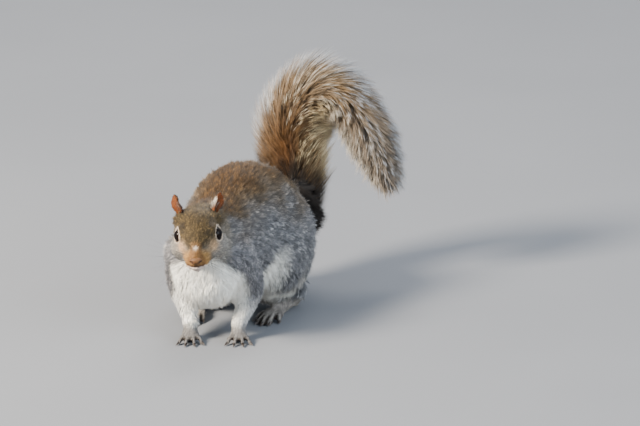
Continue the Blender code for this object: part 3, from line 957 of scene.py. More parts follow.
class Markings:
    """The squirrel's colours over its skin, which the coat takes on too."""

    SPINE_X = -8.5
    WANDER = 26.0
    BACK_UP, BACK_HEIGHT = (0.05, 0.75), (56.0, 84.0)
    SADDLE_UP, SADDLE_HEIGHT = (0.50, 0.96), (64.0, 94.0)
    SHOULDER_LENGTH = (48.0, 22.0)
    CREAM_UP, CREAM_HEIGHT = (-0.22, -0.50), (50.0, 36.0)
    BELLY_UP = (-0.4, -0.7)
    THIGH_BACK, THIGH_FRONT, THIGH_HEIGHT = (73.0, 58.0), (28.0, 40.0), (7.0, -7.0)
    THIGH_LINE = (45.0, 40.0, 0.75)
    BIB_X = -7.5
    BIB_HALF, BIB_HALF_HIGH = 25.0, 10.0
    BIB_NARROWS, BIB_EDGE = (50.0, 68.0), (4.5, -3.5)
    CHEST_AHEAD, CHEST_UP = (-0.10, -0.50), (0.10, -0.20)
    CHEST_HEIGHT, CHEST_LENGTH = (86.0, 74.0), (44.0, 32.0)
    DOCK = np.array([0.0, 142.0, 60.0])
    DOCK_REACH = (35.0, 27.0)
    LEG_INNER, LEG_GREY = (0.40, -0.10), (38.0, 20.0)
    LEG_LOW, LEG_WHITE = (40.0, 28.0), (70.0, 52.0)
    SHIN_HEIGHT, SHIN_OUTWARD = (32.0, 18.0), (0.85, 0.3)
    PAW_HEIGHT = (17.0, 9.0)
    FOOT_GAINS = (("leg", 1.4), ("paw", 1.3), ("foot", 1.5))
    SOLE_UP, SOLE_HEIGHT = (-0.55, -0.85), (6.0, 3.0)
    UNDER_EYE = ((10.8, 4.5), (-10.0, 6.0), (-5.2, 3.4))
    THROAT_HEIGHT, THROAT_LENGTH = (-14.4, -18.0), (34.0, 20.0)
    THROAT_HALF, THROAT_HALF_LOW, THROAT_WIDENS = 11.5, 20.0, (-17.0, -32.0)
    NECK_AHEAD, NECK_HEIGHT = (-0.05, -0.45), (-14.0, -24.0)
    SPOT, SPOT_HEIGHT = ((1.2, -20.9, 1.1), (-8.0, -5.0))
    EYE_RING = (6.0, 0.41)
    BROW, BROW_NEAR = (8.3, 1.3), (0.74, 0.97)
    BROW_WAY = (-0.45, -0.30, 0.85)
    LID_EDGE = (5.55, 5.15)

    def paint(self, surface: Surface) -> None:
        """Adds each point's base colour and how grizzled its fur is.

        Args:
            surface: The skin, with its regions.
        """
        self.surface = surface
        self.colour = np.tile(np.array(PALETTE.flank), (len(surface.points), 1))
        self.grizzle = np.ones(len(surface.points))
        self.wander = ripple(surface.points, self.WANDER, seed=11)
        x, y, z = surface.points.T
        _, ahead, up = surface.normals.T
        uneven = 0.1 * self.wander
        above = fade(*self.BACK_UP, up + uneven) * fade(*self.BACK_HEIGHT, z)
        saddle = fade(*self.SADDLE_UP, up + 0.8 * uneven) * fade(*self.SADDLE_HEIGHT, z)
        self.lay(PALETTE.back, above, 1.0)
        self.lay(PALETTE.saddle, saddle, 1.0)
        self.lay(PALETTE.shoulder, fade(*self.SHOULDER_LENGTH, y) * (1.0 - above), 1.0)
        under = fade(*self.CREAM_UP, up + uneven) * fade(*self.CREAM_HEIGHT, z)
        self.lay(PALETTE.cream, under, 0.4)
        self.lay(PALETTE.white, np.maximum(fade(*self.BELLY_UP, up), self._before_thigh()), 0.0)
        half_bib = mix(self.BIB_HALF, self.BIB_HALF_HIGH, fade(*self.BIB_NARROWS, z))
        self.bib = fade(*self.BIB_EDGE, np.abs(x - self.BIB_X) + 2.5 * self.wander - half_bib)
        chest = np.maximum(fade(*self.CHEST_AHEAD, ahead + uneven), fade(*self.CHEST_UP, up))
        chest *= fade(*self.CHEST_HEIGHT, z) * fade(*self.CHEST_LENGTH, y)
        self.lay(PALETTE.white, chest * self.bib, 0.0)
        self._paint_legs()
        self._paint_head()
        # Painted shade: the tail's core and the rump round the tail's root go near black for the deep shadow
        # between rump and tail.
        dock = np.maximum(surface.values["dock"] * 0.9, self.tail_hair_and_shade_share(surface.points))
        self.lay(PALETTE.tail_root_shade, dock, 0.5)
        surface.values["colour"] = np.clip(self.colour, 0.0, 1.0)
        surface.values["grizzle"] = self.grizzle

    def lay(self, tint: Colour, share: Array, grain: float) -> None:
        """Lays a colour over what is there.

        Args:
            tint: The colour.
            share: How much of it each point takes.
            grain: How grizzled fur of that colour is.
        """
        self.colour = tinted(self.colour, tint, share)
        self.grizzle = mix(self.grizzle, grain, share)

    def _before_thigh(self) -> Array:
        """1 on the white flank that shows between the elbow and the thigh."""
        _, y, z = self.surface.points.T
        from_y, from_z, slope = self.THIGH_LINE
        line = z - from_z - slope * (y - from_y) - 2.0 * self.wander
        lengthwise = fade(*self.THIGH_BACK, y) * fade(*self.THIGH_FRONT, y)
        return lengthwise * fade(*self.THIGH_HEIGHT, line) * (1.0 - self.surface.values["leg"])

    @classmethod
    def tail_hair_and_shade_share(cls, points: Array) -> Array:
        """1 where the tail's long hair spreads over the rump, and where painted shade stands for the deep
        shadow between rump and tail.
        """
        return fade(*cls.DOCK_REACH, lengths(points - cls.DOCK))

    def _paint_legs(self) -> None:
        """Whitens the legs' inner sides and feet, darkens toes and soles, and paints shade into the clefts
        between the toes.
        """
        points, values = self.surface.points, self.surface.values
        x, _, z = points.T
        outward = self.surface.normals[:, 0] * np.sign(x - self.SPINE_X)
        inner = fade(*self.LEG_INNER, outward + 0.1 * self.wander) * fade(*self.LEG_WHITE, z)
        leg, paw, foot = (np.clip(values[name] * gain, 0.0, 1.0) for name, gain in self.FOOT_GAINS)
        shin = fade(*self.SHIN_HEIGHT, z) * fade(*self.SHIN_OUTWARD, outward)
        self.lay(PALETTE.leg, leg * fade(*self.LEG_GREY, z + 3.0 * self.wander), 0.4)
        self.lay(PALETTE.white, leg * inner * np.maximum(fade(*self.LEG_LOW, z), self.bib), 0.05)
        self.lay(PALETTE.white, leg * shin * 0.85, 0.1)
        self.lay(PALETTE.foot, paw * fade(*self.PAW_HEIGHT, z), 0.25)
        self.lay(PALETTE.instep, foot * 0.85, 0.6)
        for one in FEET:
            self.lay(PALETTE.toe, one.toe_share(points) * 0.8, 0.2)
            # Painted shade in the clefts between the toes.
            self.lay(PALETTE.toe_cleft_shade, one.cleft_shade_share(points), 0.2)
        sole = fade(*self.SOLE_UP, self.surface.normals[:, 2]) * fade(*self.SOLE_HEIGHT, z)
        self.lay(PALETTE.sole, sole * np.maximum(values["paw"], values["foot"]), 0.0)

    def _paint_head(self) -> None:
        """Lays the crown, cheeks, muzzle, throat and chin, then the bridge's pale spot and the eyes."""
        values, wander = self.surface.values, self.wander
        head = AXES.in_head(self.surface.points)
        head[:, 0] -= Muzzle().swung(head)
        x, y, z = np.abs(head[:, 0]), head[:, 1], head[:, 2]
        on_head = np.clip(values["head"] * 1.25, 0.0, 1.0)

        def lay_patches(*patches: Patch) -> None:
            """Lays patches over the head, one after another."""
            for patch in patches:
                self.lay(patch.tint, on_head * patch.shares(x, y, z, wander), patch.grain)

        lay_patches(*FACE)
        below_eye = [bump(*hill, axis) for hill, axis in zip(self.UNDER_EYE, (x, y, z))]
        self.lay(PALETTE.under_eye, on_head * math.prod(below_eye) * 0.65, 0.6)
        lay_patches(*MUZZLE_PATCHES)
        half = mix(self.THROAT_HALF, self.THROAT_HALF_LOW, fade(*self.THROAT_WIDENS, z))
        within = fade(3.0, -3.0, x + 1.5 * wander - half)
        throat = fade(*self.THROAT_HEIGHT, z + wander - 0.12 * (y + 24.0)) * within
        throat *= fade(*self.THROAT_LENGTH, y) * np.maximum(on_head, values["neck"])
        self.lay(PALETTE.white, throat, 0.0)
        front = fade(*self.NECK_AHEAD, self.surface.normals[:, 1]) * fade(*self.NECK_HEIGHT, z)
        self.lay(PALETTE.white, values["neck"] * front * within * self.bib, 0.05)
        lay_patches(CHIN)
        half_width, middle, half_length = self.SPOT
        spot = bump(0.0, half_width, x) * bump(middle, half_length, y) * fade(*self.SPOT_HEIGHT, z)
        self.lay(PALETTE.spot, on_head * spot, 0.2)
        self._paint_eyes()
        head[:, 0] /= Muzzle().tip_narrow * Muzzle().narrow
        self.lay(PALETTE.lip, on_head * Mouth().line_share(head) * 0.9, 0.0)

    def _paint_eyes(self) -> None:
        """Lays the dark brows, the pale rings round the eyes and the lids' dark edges."""
        points = self.surface.points
        for side in SIDES:
            reach = eye_reach(points, side)
            over = unit(points - eye_centre(side)) @ AXES.heading(self.BROW_WAY, side)
            self.lay(PALETTE.brow, bump(*self.BROW, reach) * fade(*self.BROW_NEAR, over) * 0.65, 0.5)
            self.lay(PALETTE.eye_ring, bump(*self.EYE_RING, reach) * 0.95, 0.0)
            self.lay(PALETTE.lip, fade(*self.LID_EDGE, reach), 0.0)


# ---- feet ----
@dataclass(frozen=True)
class Foot:
    """One foot's place, its turn and its toes, from the heel or wrist."""

    node: str
    root: Span
    turn: float
    toes: tuple[tuple[float, float, float, float], ...]
    spread: float
    toe_radius: float

    TIP_REACH = (5.5, 1.5)
    CLEFT_SIDE, CLEFT_BESIDE = (0.25, 0.65), (3.0, 2.0)
    CLEFT_HEIGHT, CLEFT_PAST = (3.6, 2.4), (0.0, 0.35)

    def axes(self) -> tuple[Array, Array]:
        """The foot's left and forward directions on the floor."""
        angle = math.radians(self.turn)
        across = np.array([math.cos(angle), math.sin(angle), 0.0])
        return across, np.array([math.sin(angle), -math.cos(angle), 0.0])

    def place(self, x: float, y: float, z: float) -> Array:
        """A point of the foot, in animal axes."""
        across, ahead = self.axes()
        return np.array([*self.root, 0.0]) + across * x - ahead * y + np.array([0.0, 0.0, z])

    def tips(self) -> list[tuple[Array, Array]]:
        """Each toe's tip and the direction it points in."""
        found = []
        for knuckle_x, knuckle_y, tip_x, tip_y in self.toes:
            tip = self.place(tip_x * self.spread, tip_y, self.toe_radius)
            knuckle = self.place(knuckle_x, knuckle_y, self.toe_radius)
            found.append((tip, unit(tip - knuckle)))
        return found

    def toe_share(self, points: Array) -> Array:
        """1 at the toes' tips and 0 a few millimetres behind them."""
        return np.max([fade(*self.TIP_REACH, lengths(points - tip)) for tip, _ in self.tips()], axis=0)

    def cleft_shade_share(self, points: Array) -> Array:
        """1 in the clefts between the toes, where their shade is painted, and 0 on the toes and behind them.

        Args:
            points: Points in animal axes.

        Returns:
            One share for each point.
        """
        nearest = np.full(len(points), np.inf)
        past = np.zeros(len(points))
        flat = points * (1.0, 1.0, 0.0)
        for knuckle_x, knuckle_y, tip_x, tip_y in self.toes:
            knuckle = self.place(knuckle_x, knuckle_y, 0.0)
            line = self.place(tip_x * self.spread, tip_y, 0.0) - knuckle
            share = (flat - knuckle) @ line / (line @ line)
            distance = lengths(flat - knuckle - np.clip(share, 0.0, 1.0)[:, None] * line)
            past = np.where(distance < nearest, share, past)
            nearest = np.minimum(nearest, distance)
        beside, height = nearest / self.toe_radius, points[:, 2] / self.toe_radius
        cleft = fade(*self.CLEFT_SIDE, beside) * fade(*self.CLEFT_BESIDE, beside)
        return cleft * fade(*self.CLEFT_HEIGHT, height) * fade(*self.CLEFT_PAST, past)


FORE_TOES = (
    (-4.4, -6.0, -8.2, -14.0),
    (-1.6, -7.5, -3.0, -17.0),
    (1.6, -7.5, 3.2, -17.0),
    (4.4, -6.0, 8.6, -13.5),
)
HIND_TOES = (
    (-5.2, -37.0, -9.0, -49.0),
    (-2.7, -40.0, -4.7, -55.5),
    (0.0, -41.0, 0.0, -57.5),
    (2.7, -40.0, 4.7, -55.5),
    (5.2, -36.0, 9.0, -47.5),
)
FEET = (
    Foot("forepaw_left", (12.8, 17.0), 18.0, FORE_TOES, 1.0, 1.9),
    Foot("forepaw_right", (-20.2, 7.0), 18.0, FORE_TOES, 1.0, 1.9),
    Foot("hind_foot_left", (24.0, 110.0), -5.5, HIND_TOES, 1.0, 2.1),
    Foot("hind_foot_right", (-40.0, 93.5), 10.0, HIND_TOES, 0.78, 2.1),
)


# ---- the lie of the coat ----
class LieOfCoat:
    """The way the fur is combed, from guides that each hold near their own place."""

    NEAREST = 20.0
    FALL = 1.6
    ROUNDS = 8
    HEAD_GUIDES = (
        ((0.0, -26.0, -5.0), (0.0, 1.0, 0.5)),
        ((0.0, -14.0, 3.0), (0.0, 1.0, 0.4)),
        ((0.0, 2.0, 13.0), (0.0, 1.0, 0.1)),
        ((0.0, 22.0, 13.0), (0.0, 1.0, -0.3)),
        ((12.0, -14.0, -10.0), (0.5, 1.0, -0.1)),
        ((14.0, -4.0, 2.0), (0.2, 1.0, 0.3)),
        ((17.0, 8.0, -8.0), (0.2, 1.0, -0.35)),
        ((16.0, 22.0, -4.0), (0.1, 1.0, -0.4)),
        ((0.0, -20.0, -19.0), (0.0, 1.0, -0.2)),
        ((7.0, -4.0, -22.0), (0.2, 1.0, -0.5)),
    )
    BODY_GUIDES = (
        ((-9.0, -12.0, 55.0), (0.0, 0.1, -1.0)),
        ((-9.0, -4.0, 35.0), (0.0, 0.5, -1.0)),
        ((12.0, 2.0, 60.0), (0.35, 0.3, -1.0)),
        ((-32.0, -2.0, 60.0), (-0.35, 0.3, -1.0)),
        ((-11.0, 30.0, 95.0), (0.0, 1.0, 0.1)),
        ((-10.0, 60.0, 110.0), (0.0, 1.0, 0.05)),
        ((-6.0, 95.0, 113.0), (0.0, 1.0, -0.1)),
        ((-4.0, 130.0, 92.0), (0.0, 0.8, -0.6)),
        ((20.0, 45.0, 75.0), (0.1, 1.0, -0.55)),
        ((-40.0, 45.0, 75.0), (-0.1, 1.0, -0.55)),
        ((35.0, 95.0, 80.0), (0.1, 0.9, -0.5)),
        ((-48.0, 90.0, 80.0), (-0.1, 0.9, -0.5)),
        ((42.0, 100.0, 45.0), (0.0, 0.55, -0.85)),
        ((-56.0, 95.0, 45.0), (0.0, 0.55, -0.85)),
        ((30.0, 120.0, 20.0), (0.0, 0.2, -1.0)),
        ((-44.0, 112.0, 20.0), (0.0, 0.2, -1.0)),
        ((22.0, 26.0, 55.0), (0.1, 0.5, -0.9)),
        ((-40.0, 20.0, 55.0), (-0.1, 0.5, -0.9)),
        ((17.0, 27.0, 30.0), (0.0, 0.1, -1.0)),
        ((-28.0, 17.0, 30.0), (0.0, 0.1, -1.0)),
        ((13.0, 17.0, 14.0), (0.0, -0.3, -1.0)),
        ((-20.5, 8.0, 14.0), (0.0, -0.3, -1.0)),
        ((15.0, 5.0, 4.0), (0.3, -1.0, -0.2)),
        ((-17.0, -6.0, 4.0), (0.3, -1.0, -0.2)),
        ((24.0, 90.0, 8.0), (0.0, -1.0, -0.1)),
        ((26.0, 62.0, 5.0), (-0.1, -1.0, -0.2)),
        ((-38.0, 75.0, 8.0), (0.1, -1.0, -0.1)),
        ((-32.0, 45.0, 5.0), (0.17, -1.0, -0.2)),
        ((-8.0, 30.0, 20.0), (0.0, 1.0, -0.1)),
        ((-6.0, 75.0, 14.0), (0.0, 1.0, 0.0)),
        ((-5.0, 125.0, 22.0), (0.0, 1.0, 0.2)),
        ((-3.0, 148.0, 50.0), (-0.2, 1.0, 0.3)),
    )

    def __init__(self) -> None:
        """Gathers the guides in animal axes, those beside the head's middle once for each side."""
        places, directions = [], []
        for place, direction in self.HEAD_GUIDES:
            for side in SIDES if place[0] else ("left",):
                places.append(AXES.from_head(np.array(place) * (SIDES[side], 1.0, 1.0)))
                directions.append(AXES.heading(direction, side))
        for place, direction in self.BODY_GUIDES:
            places.append(np.array(place))
            directions.append(unit(np.array(direction)))
        self.places, self.directions = np.array(places), np.array(directions)

    def comb(self, surface: Surface) -> None:
        """Adds the direction of the fur at each point, along the surface.

        Args:
            surface: The skin.
        """
        total = np.zeros_like(surface.points)
        for place, direction in zip(self.places, self.directions):
            squared = ((surface.points - place) ** 2).sum(axis=1)
            total += direction / ((squared + self.NEAREST) ** self.FALL)[:, None]
        surface.values["comb"] = surface.softened(flattened(unit(total), surface.normals), self.ROUNDS)


# ---- tufts ----
@dataclass
class Tufts:
    """Thin tapered locks, each with three sides, as one mesh."""

    spines: Array
    sideways: Array
    shading: Array
    widths: Array
    thickness: float = 0.45
    root_share: float = 0.55
    own_facing: float = 0.7
    rounding: float = 0.8
    tip_facing: float = 0.3

    def points_and_normals(self) -> tuple[Array, Array]:
        """The locks' points and the normals that they are shaded with.

        Returns:
            Both as (lock, point, axis), with the tip last.
        """
        count, rings = self.spines.shape[0], self.spines.shape[1] - 1
        along = unit(np.diff(self.spines, axis=1))
        bulge = np.sin(math.pi * np.clip(np.arange(rings) / rings * 1.1, 0.0, 1.0) ** 0.8)
        profile = mix(self.root_share, 1.0, bulge) if rings > 1 else np.ones(1)
        points = np.empty((count, rings * 3 + 1, 3))
        normals = np.empty_like(points)
        for ring in range(rings):
            up = unit(np.cross(along[:, ring], self.sideways))
            width = (self.widths * profile[ring])[:, None]
            shade = unit(self.shading + self.own_facing * up)
            corners = ((-0.5, 0.0), (0.0, self.thickness), (0.5, 0.0))
            for point, (aside, raised) in enumerate(corners, start=ring * 3):
                points[:, point] = self.spines[:, ring] + (aside * self.sideways + raised * up) * width
                normals[:, point] = unit(shade + 2.0 * aside * self.rounding * self.sideways)
        points[:, -1] = self.spines[:, -1]
        normals[:, -1] = unit(self.shading + self.tip_facing * along[:, -1])
        return points, normals

    def faces(self) -> Array:
        """The triangles of every lock."""
        count, rings = self.spines.shape[0], self.spines.shape[1] - 1
        sides = ((0, 1), (1, 2), (2, 0))
        pattern = []
        for ring in range(rings - 1):
            near, far = ring * 3, ring * 3 + 3
            for a, b in sides:
                pattern.append((near + a, far + a, far + b))
                pattern.append((near + a, far + b, near + b))
        last, tip = (rings - 1) * 3, rings * 3
        pattern += [(last + a, tip, last + b) for a, b in sides]
        starts = np.arange(count)[:, None, None] * (rings * 3 + 1)
        return (np.array(pattern)[None] + starts).reshape(-1, 3)

    def patches(self) -> tuple[Array, Array]:
        """Across and along each lock for its points, from 0 to 1."""
        rings = self.spines.shape[1] - 1
        across = np.append(np.tile([0.0, 0.5, 1.0], rings), 0.5)
        along = np.append(np.repeat(np.arange(rings) / rings, 3), 1.0)
        return across, along


def plant(name: str, tufts: Tufts, roots_uv: Array, values: dict[str, Array]) -> Object:
    """Makes one coat piece.

    Args:
        name: The piece's name.
        tufts: Its locks.
        roots_uv: Where each root lies on the unwrapped skin, from 0 to 1.
        values: One number or colour for each lock.

    Returns:
        The piece, with its UV map and attributes.
    """
    patch, gap = 0.003, 0.03
    points, normals = tufts.points_and_normals()
    faces = tufts.faces()
    across, along = tufts.patches()
    corner_uv = roots_uv[:, None] * (1.0 - 3.0 * patch) + (np.stack([across, along], axis=1) + 1.0) * patch
    flat = AXES.off_floor(points.reshape(-1, 3), gap)
    obj = mesh_object(name, flat, faces, corner_uv.reshape(-1, 2)[faces].reshape(-1, 2))
    add_values(obj, "lengthwise", np.tile(along, len(points)))
    for key, value in values.items():
        add_values(obj, key, np.repeat(value, points.shape[1], axis=0))
    obj.data.normals_split_custom_set_from_vertices(normals.reshape(-1, 3))
    return obj


def unwrapped(points: Array, axis: Array) -> Array:
    """Points unrolled round an axis through their middle.

    Args:
        points: Places on the skin, in animal axes.
        axis: The direction that the form runs in.

    Returns:
        Two numbers for each point, each spread over 0 to 1.
    """
    axis = unit(axis)
    side = unit(np.cross(axis, [0.31, 0.17, 0.93]))
    away = points - points.mean(axis=0)
    angle = np.arctan2(away @ np.cross(axis, side), away @ side)
    flat = np.stack([angle, away @ axis], axis=1)
    low, high = flat.min(axis=0), flat.max(axis=0)
    return (flat - low) / (high - low)


# ---- the coat's pieces ----
class Region(Enum):
    """The coat's pieces on the skin, each with the direction that it runs in."""

    COAT_FACE = (0.0, -1.0, -0.4)
    COAT_CROWN = (0.0, 1.0, -0.3)
    COAT_NECK = (0.0, 1.0, -0.2)
    COAT_CHEST = (0.0, 0.9, 0.3)
    COAT_RIBS = (0.0, 1.0, 0.01)
    COAT_RUMP = (0.0, 1.0, -0.1)
    COAT_FORELEG_LEFT = (0.0, 0.01, 1.0)
    COAT_FORELEG_RIGHT = (0.0, -0.01, 1.0)
    COAT_THIGH_LEFT = (0.1, 0.3, 0.9)
    COAT_THIGH_RIGHT = (-0.1, 0.3, 0.9)
    COAT_HIND_FOOT_LEFT = (-0.1, 1.0, 0.0)
    COAT_HIND_FOOT_RIGHT = (0.17, 1.0, 0.0)


def regions_of(skin: Surface) -> dict[Region, Array]:
    """Which points of the skin each coat piece covers.

    Args:
        skin: The skin, with its regions' values.

    Returns:
        A mask of 0 and 1 for each piece.
    """
    chest_end, ribs_end, face_end = 24.0, 78.0, -1.0
    order = ["head", "neck", "leg", "thigh", "foot"]
    face = AXES.in_head(skin.points)[:, 1] < face_end
    left = skin.points[:, 0] > Markings.SPINE_X
    y = skin.points[:, 1]
    best = np.stack([*(skin.values[name] for name in order), np.full(len(y), 0.5)]).argmax(axis=0)
    rest = best == len(order)
    masks = {
        Region.COAT_FACE: (best == 0) & face,
        Region.COAT_CROWN: (best == 0) & ~face,
        Region.COAT_NECK: best == 1,
        Region.COAT_CHEST: rest & (y < chest_end),
        Region.COAT_RIBS: rest & (y >= chest_end) & (y < ribs_end),
        Region.COAT_RUMP: rest & (y >= ribs_end),
    }
    for number, limb in enumerate(("FORELEG", "THIGH", "HIND_FOOT"), start=2):
        masks[Region[f"COAT_{limb}_LEFT"]] = (best == number) & left
        masks[Region[f"COAT_{limb}_RIGHT"]] = (best == number) & ~left
    return {region: mask.astype(np.float64) for region, mask in masks.items()}


# ---- the body's coat ----
@dataclass(frozen=True)
class FurKind:
    """How the fur of one region grows, in millimetres."""

    length: float
    width: float
    density: float


class BodyCoat:
    """Combed fur over the whole skin, in pieces."""

    BACK = FurKind(8.0, 0.50, 4.0)
    BELLY = FurKind(9.0, 0.50, 3.2)
    THIGH = FurKind(7.8, 0.50, 4.0)
    NECK = FurKind(7.6, 0.46, 4.6)
    HEAD = FurKind(4.6, 0.42, 6.4)
    FACE = FurKind(3.3, 0.38, 8.5)
    MUZZLE = FurKind(2.2, 0.28, 15.0)
    LEG = FurKind(4.6, 0.44, 5.2)
    FOOT = FurKind(2.3, 0.34, 9.0)
    DOCK = FurKind(16.0, 0.60, 3.6)
    FACE_SPAN = (26.0, 4.0)
    WRIST = (34.0, 12.0)
    LID_SPAN, LID_LENGTH, LID_WIDTH = (6.2, 9.5), 0.42, 0.7
    EAR_SPAN, EAR_LONGER, EAR_RAISED = (8.0, 4.0), 0.35, 0.45
    EYE_BARE, SOLE_BARE, COVERED_TO = (6.05, 5.7), (1.6, 0.9), 178.0
    TURN_NOISE, OWN_TURN, SHARED_TURN = 5.0, 8.0, 9.0
    CLUMP_LEAST, CLUMP_SHARE, PULL = 1.0, 0.20, (0.15, 0.75)
    LENGTHS, WIDTHS, LIFTS = (0.72, 1.15), (0.75, 1.25), (0.75, 1.2)
    LEAST_LIFT, MOST_LIFT, BENT = 0.08, 0.8, (1.45, 0.55)
    GUARD_SHARE, GUARD_MOST = 0.07, 1.1
    SUNK = 0.25
    DARK_BELOW, PALE_ABOVE = 0.38, 0.64
    PALER, LEAST_PALE = (2.5, 2.4, 2.2), 0.006
    CURVED = {Region.COAT_CHEST}
    ON_HEAD = {Region.COAT_FACE, Region.COAT_CROWN}

    def __init__(self, skin: Surface) -> None:
        """Works out how the fur grows at each point of the skin."""
        self.skin = skin
        self._style()

    def _style(self) -> None:
        """Adds length, width, density and depth to the skin's values."""
        points, values = self.skin.points, self.skin.values
        under = fade(*CoatDepth.UNDERNEATH, self.skin.normals[:, 2])
        short = fade(*self.FACE_SPAN, AXES.in_head(points)[:, 1])
        foot = np.maximum(values["foot"] * 1.2, values["leg"] * fade(*self.WRIST, points[:, 2]))
        dock = np.maximum(values["dock"], 0.75 * Markings.tail_hair_and_shade_share(points))
        kinds = {name: style for name, style in vars(BodyCoat).items() if isinstance(style, FurKind)}
        for key in ("length", "width", "density"):
            kind = {name: getattr(style, key) for name, style in kinds.items()}
            value = mix(kind["BACK"], kind["BELLY"], under)
            value = mix(value, kind["NECK"], values["neck"])
            value = mix(value, kind["THIGH"], values["thigh"])
            value = mix(value, kind["LEG"], values["leg"])
            value = mix(value, kind["FOOT"], np.clip(foot, 0.0, 1.0))
            value = mix(value, mix(kind["HEAD"], kind["FACE"], short), values["head"])
            value = mix(value, kind["MUZZLE"], values["muzzle"])
            values[key] = mix(value, kind["DOCK"], dock)
        by_ear = np.zeros(len(points))
        for side in SIDES:
            lid = fade(*self.LID_SPAN, eye_reach(points, side))
            near_ear = fade(*self.EAR_SPAN, lengths(points - Ears().axes(side)[0]))
            values["length"] *= mix(self.LID_LENGTH, 1.0, lid) * (1.0 + self.EAR_LONGER * near_ear)
            values["width"] *= mix(self.LID_WIDTH, 1.0, lid)
            by_ear = np.maximum(by_ear, near_ear)
        values["depth"] = CoatDepth().at(self.skin) * (1.0 + self.EAR_RAISED * by_ear)
        self._thin_out()

    def _thin_out(self) -> None:
        """Leaves the eyes' openings, soles and the tail's core bare."""
        points, values = self.skin.points, self.skin.values
        bare = fade(*self.SOLE_BARE, AXES.to_row(points)[:, 2] / MM)
        for side in SIDES:
            bare = np.maximum(bare, fade(*self.EYE_BARE, eye_reach(points, side)))
        bare[(values["dock"] > 0.5) & (points[:, 1] > self.COVERED_TO)] = 1.0
        values["density"] = values["density"] * (1.0 - bare)

    @classmethod
    def clumps(cls, roots: Roots) -> Array:
        """Which small clump each lock belongs to, as a number.

        Args:
            roots: Where the locks grow.

        Returns:
            One number for each lock.
        """
        spacing = cls.CLUMP_LEAST + cls.CLUMP_SHARE * float(np.median(roots.values["length"]))
        shift = 0.35 * ripple(roots.points, 3.5 * spacing, seed=8)[:, None]
        return numbered(np.floor(roots.points / spacing + shift).astype(int))

    @classmethod
    def spines(cls, roots: Roots, group: Array, segments: int, seed: int) -> tuple[Array, Array, Array]:
        """The locks' middle lines.

        Args:
            roots: Where they grow.
            group: Each lock's clump.
            segments: How many straight stretches each has, 1 or 2.
            seed: Which random variation.

        Returns:
            The lines (lock, point, axis), the direction across each lock, and its width.
        """
        draws = np.random.default_rng(seed)
        count = len(roots.points)
        comb = unit(roots.values["comb"])
        normal, full = roots.normals, roots.values["length"]
        own, shared = draws.normal(size=count), draws.normal(size=(2, group.max() + 1))[:, group]
        swirl = cls.TURN_NOISE * ripple(roots.points, 24.0, seed=5)
        turn = np.radians(swirl + cls.OWN_TURN * own + cls.SHARED_TURN * shared[0])[:, None]
        ahead = comb * np.cos(turn) + unit(np.cross(normal, comb)) * np.sin(turn)
        length = full * draws.uniform(*cls.LENGTHS, count)
        lift = np.arcsin(np.clip(roots.values["depth"] / full, cls.LEAST_LIFT, cls.MOST_LIFT))
        lift *= draws.uniform(*cls.LIFTS, count) * np.exp(0.22 * shared[1])
        guard = draws.uniform(size=count) < cls.GUARD_SHARE
        lift = np.where(guard, np.minimum(lift * 2.0, cls.GUARD_MOST), lift)[:, None]
        lines = [roots.points - normal * cls.SUNK * np.minimum(full / cls.BACK.length, 1.0)[:, None]]
        for bent in (1.0,) if segments == 1 else cls.BENT:
            step = ahead * np.cos(lift * bent) + normal * np.sin(lift * bent)
            lines.append(lines[-1] + step * (length / segments)[:, None])
        widths = roots.values["width"] * draws.uniform(*cls.WIDTHS, count)
        return np.stack(lines, axis=1), unit(np.cross(normal, ahead)), widths

    @classmethod
    def gathered(cls, spines: Array, group: Array, seed: int) -> Array:
        """The lines with the tips of each clump drawn together.

        Args:
            spines: The locks' middle lines.
            group: Each lock's clump.
            seed: Which random variation.

        Returns:
            The moved lines.
        """
        draws = np.random.default_rng(seed)
        pull = draws.uniform(*cls.PULL, group.max() + 1)[group]
        moved = spines.copy()
        last = spines.shape[1] - 1
        for ring in range(1, last + 1):
            share = pull * (ring / last) ** 1.5
            moved[:, ring] += (middles(spines[:, ring], group) - spines[:, ring]) * share[:, None]
        return moved

    @classmethod
    def colours(cls, roots: Roots, group: Array, seed: int) -> dict[str, Array]:
        """Each lock's base colour, tip colour and dark band.

        Args:
            roots: Where the locks grow, with their colour and how grizzled it is.
            group: Each lock's clump, whose locks have much the same tips.
            seed: Which random variation.

        Returns:
            Colours and numbers for each lock.
        """
        draws = np.random.default_rng(seed)
        count = len(roots.points)
        shared = draws.uniform(size=(2, group.max() + 1))[:, group]
        grizzle = roots.values["grizzle"][:, None]
        together = np.clip(0.10 + 0.32 * grizzle[:, 0], 0.0, 0.6)
        chance = mix(draws.uniform(size=count), shared[0], together)[:, None]
        base = roots.values["colour"] * np.exp((shared[1] - 0.5)[:, None] * mix(0.10, 0.8, grizzle))
        tip = base * draws.uniform(0.85, 1.2, count)[:, None]
        tip = np.where(chance < cls.DARK_BELOW, mix(base, base * 0.22, grizzle), tip)
        tip = np.where(chance > cls.PALE_ABOVE, mix(base, base * cls.PALER + cls.LEAST_PALE, grizzle), tip)
        tip = np.clip(tip, 0.12 * base, 0.92)
        return {"marking": base, "tips": tip, "band": grizzle[:, 0] * draws.uniform(0.2, 0.9, count)}

    @classmethod
    def plant_piece(cls, name: str, roots: Roots, axis: Array, segments: int, seed: int) -> Object:
        """Plants one piece of the coat.

        Args:
            name: The piece's name.
            roots: Where its locks grow.
            axis: The direction that the piece runs in.
            segments: How many straight stretches each lock has.
            seed: Which random variation.

        Returns:
            The piece.
        """
        group = cls.clumps(roots)
        lines, across, widths = cls.spines(roots, group, segments, seed)
        tufts = Tufts(cls.gathered(lines, group, seed + 1), across, roots.normals, widths)
        obj = plant(name, tufts, unwrapped(roots.points, axis), cls.colours(roots, group, seed + 2))
        LOG.info("%s: %d locks, %d faces", name, len(roots.points), len(obj.data.polygons))
        return obj

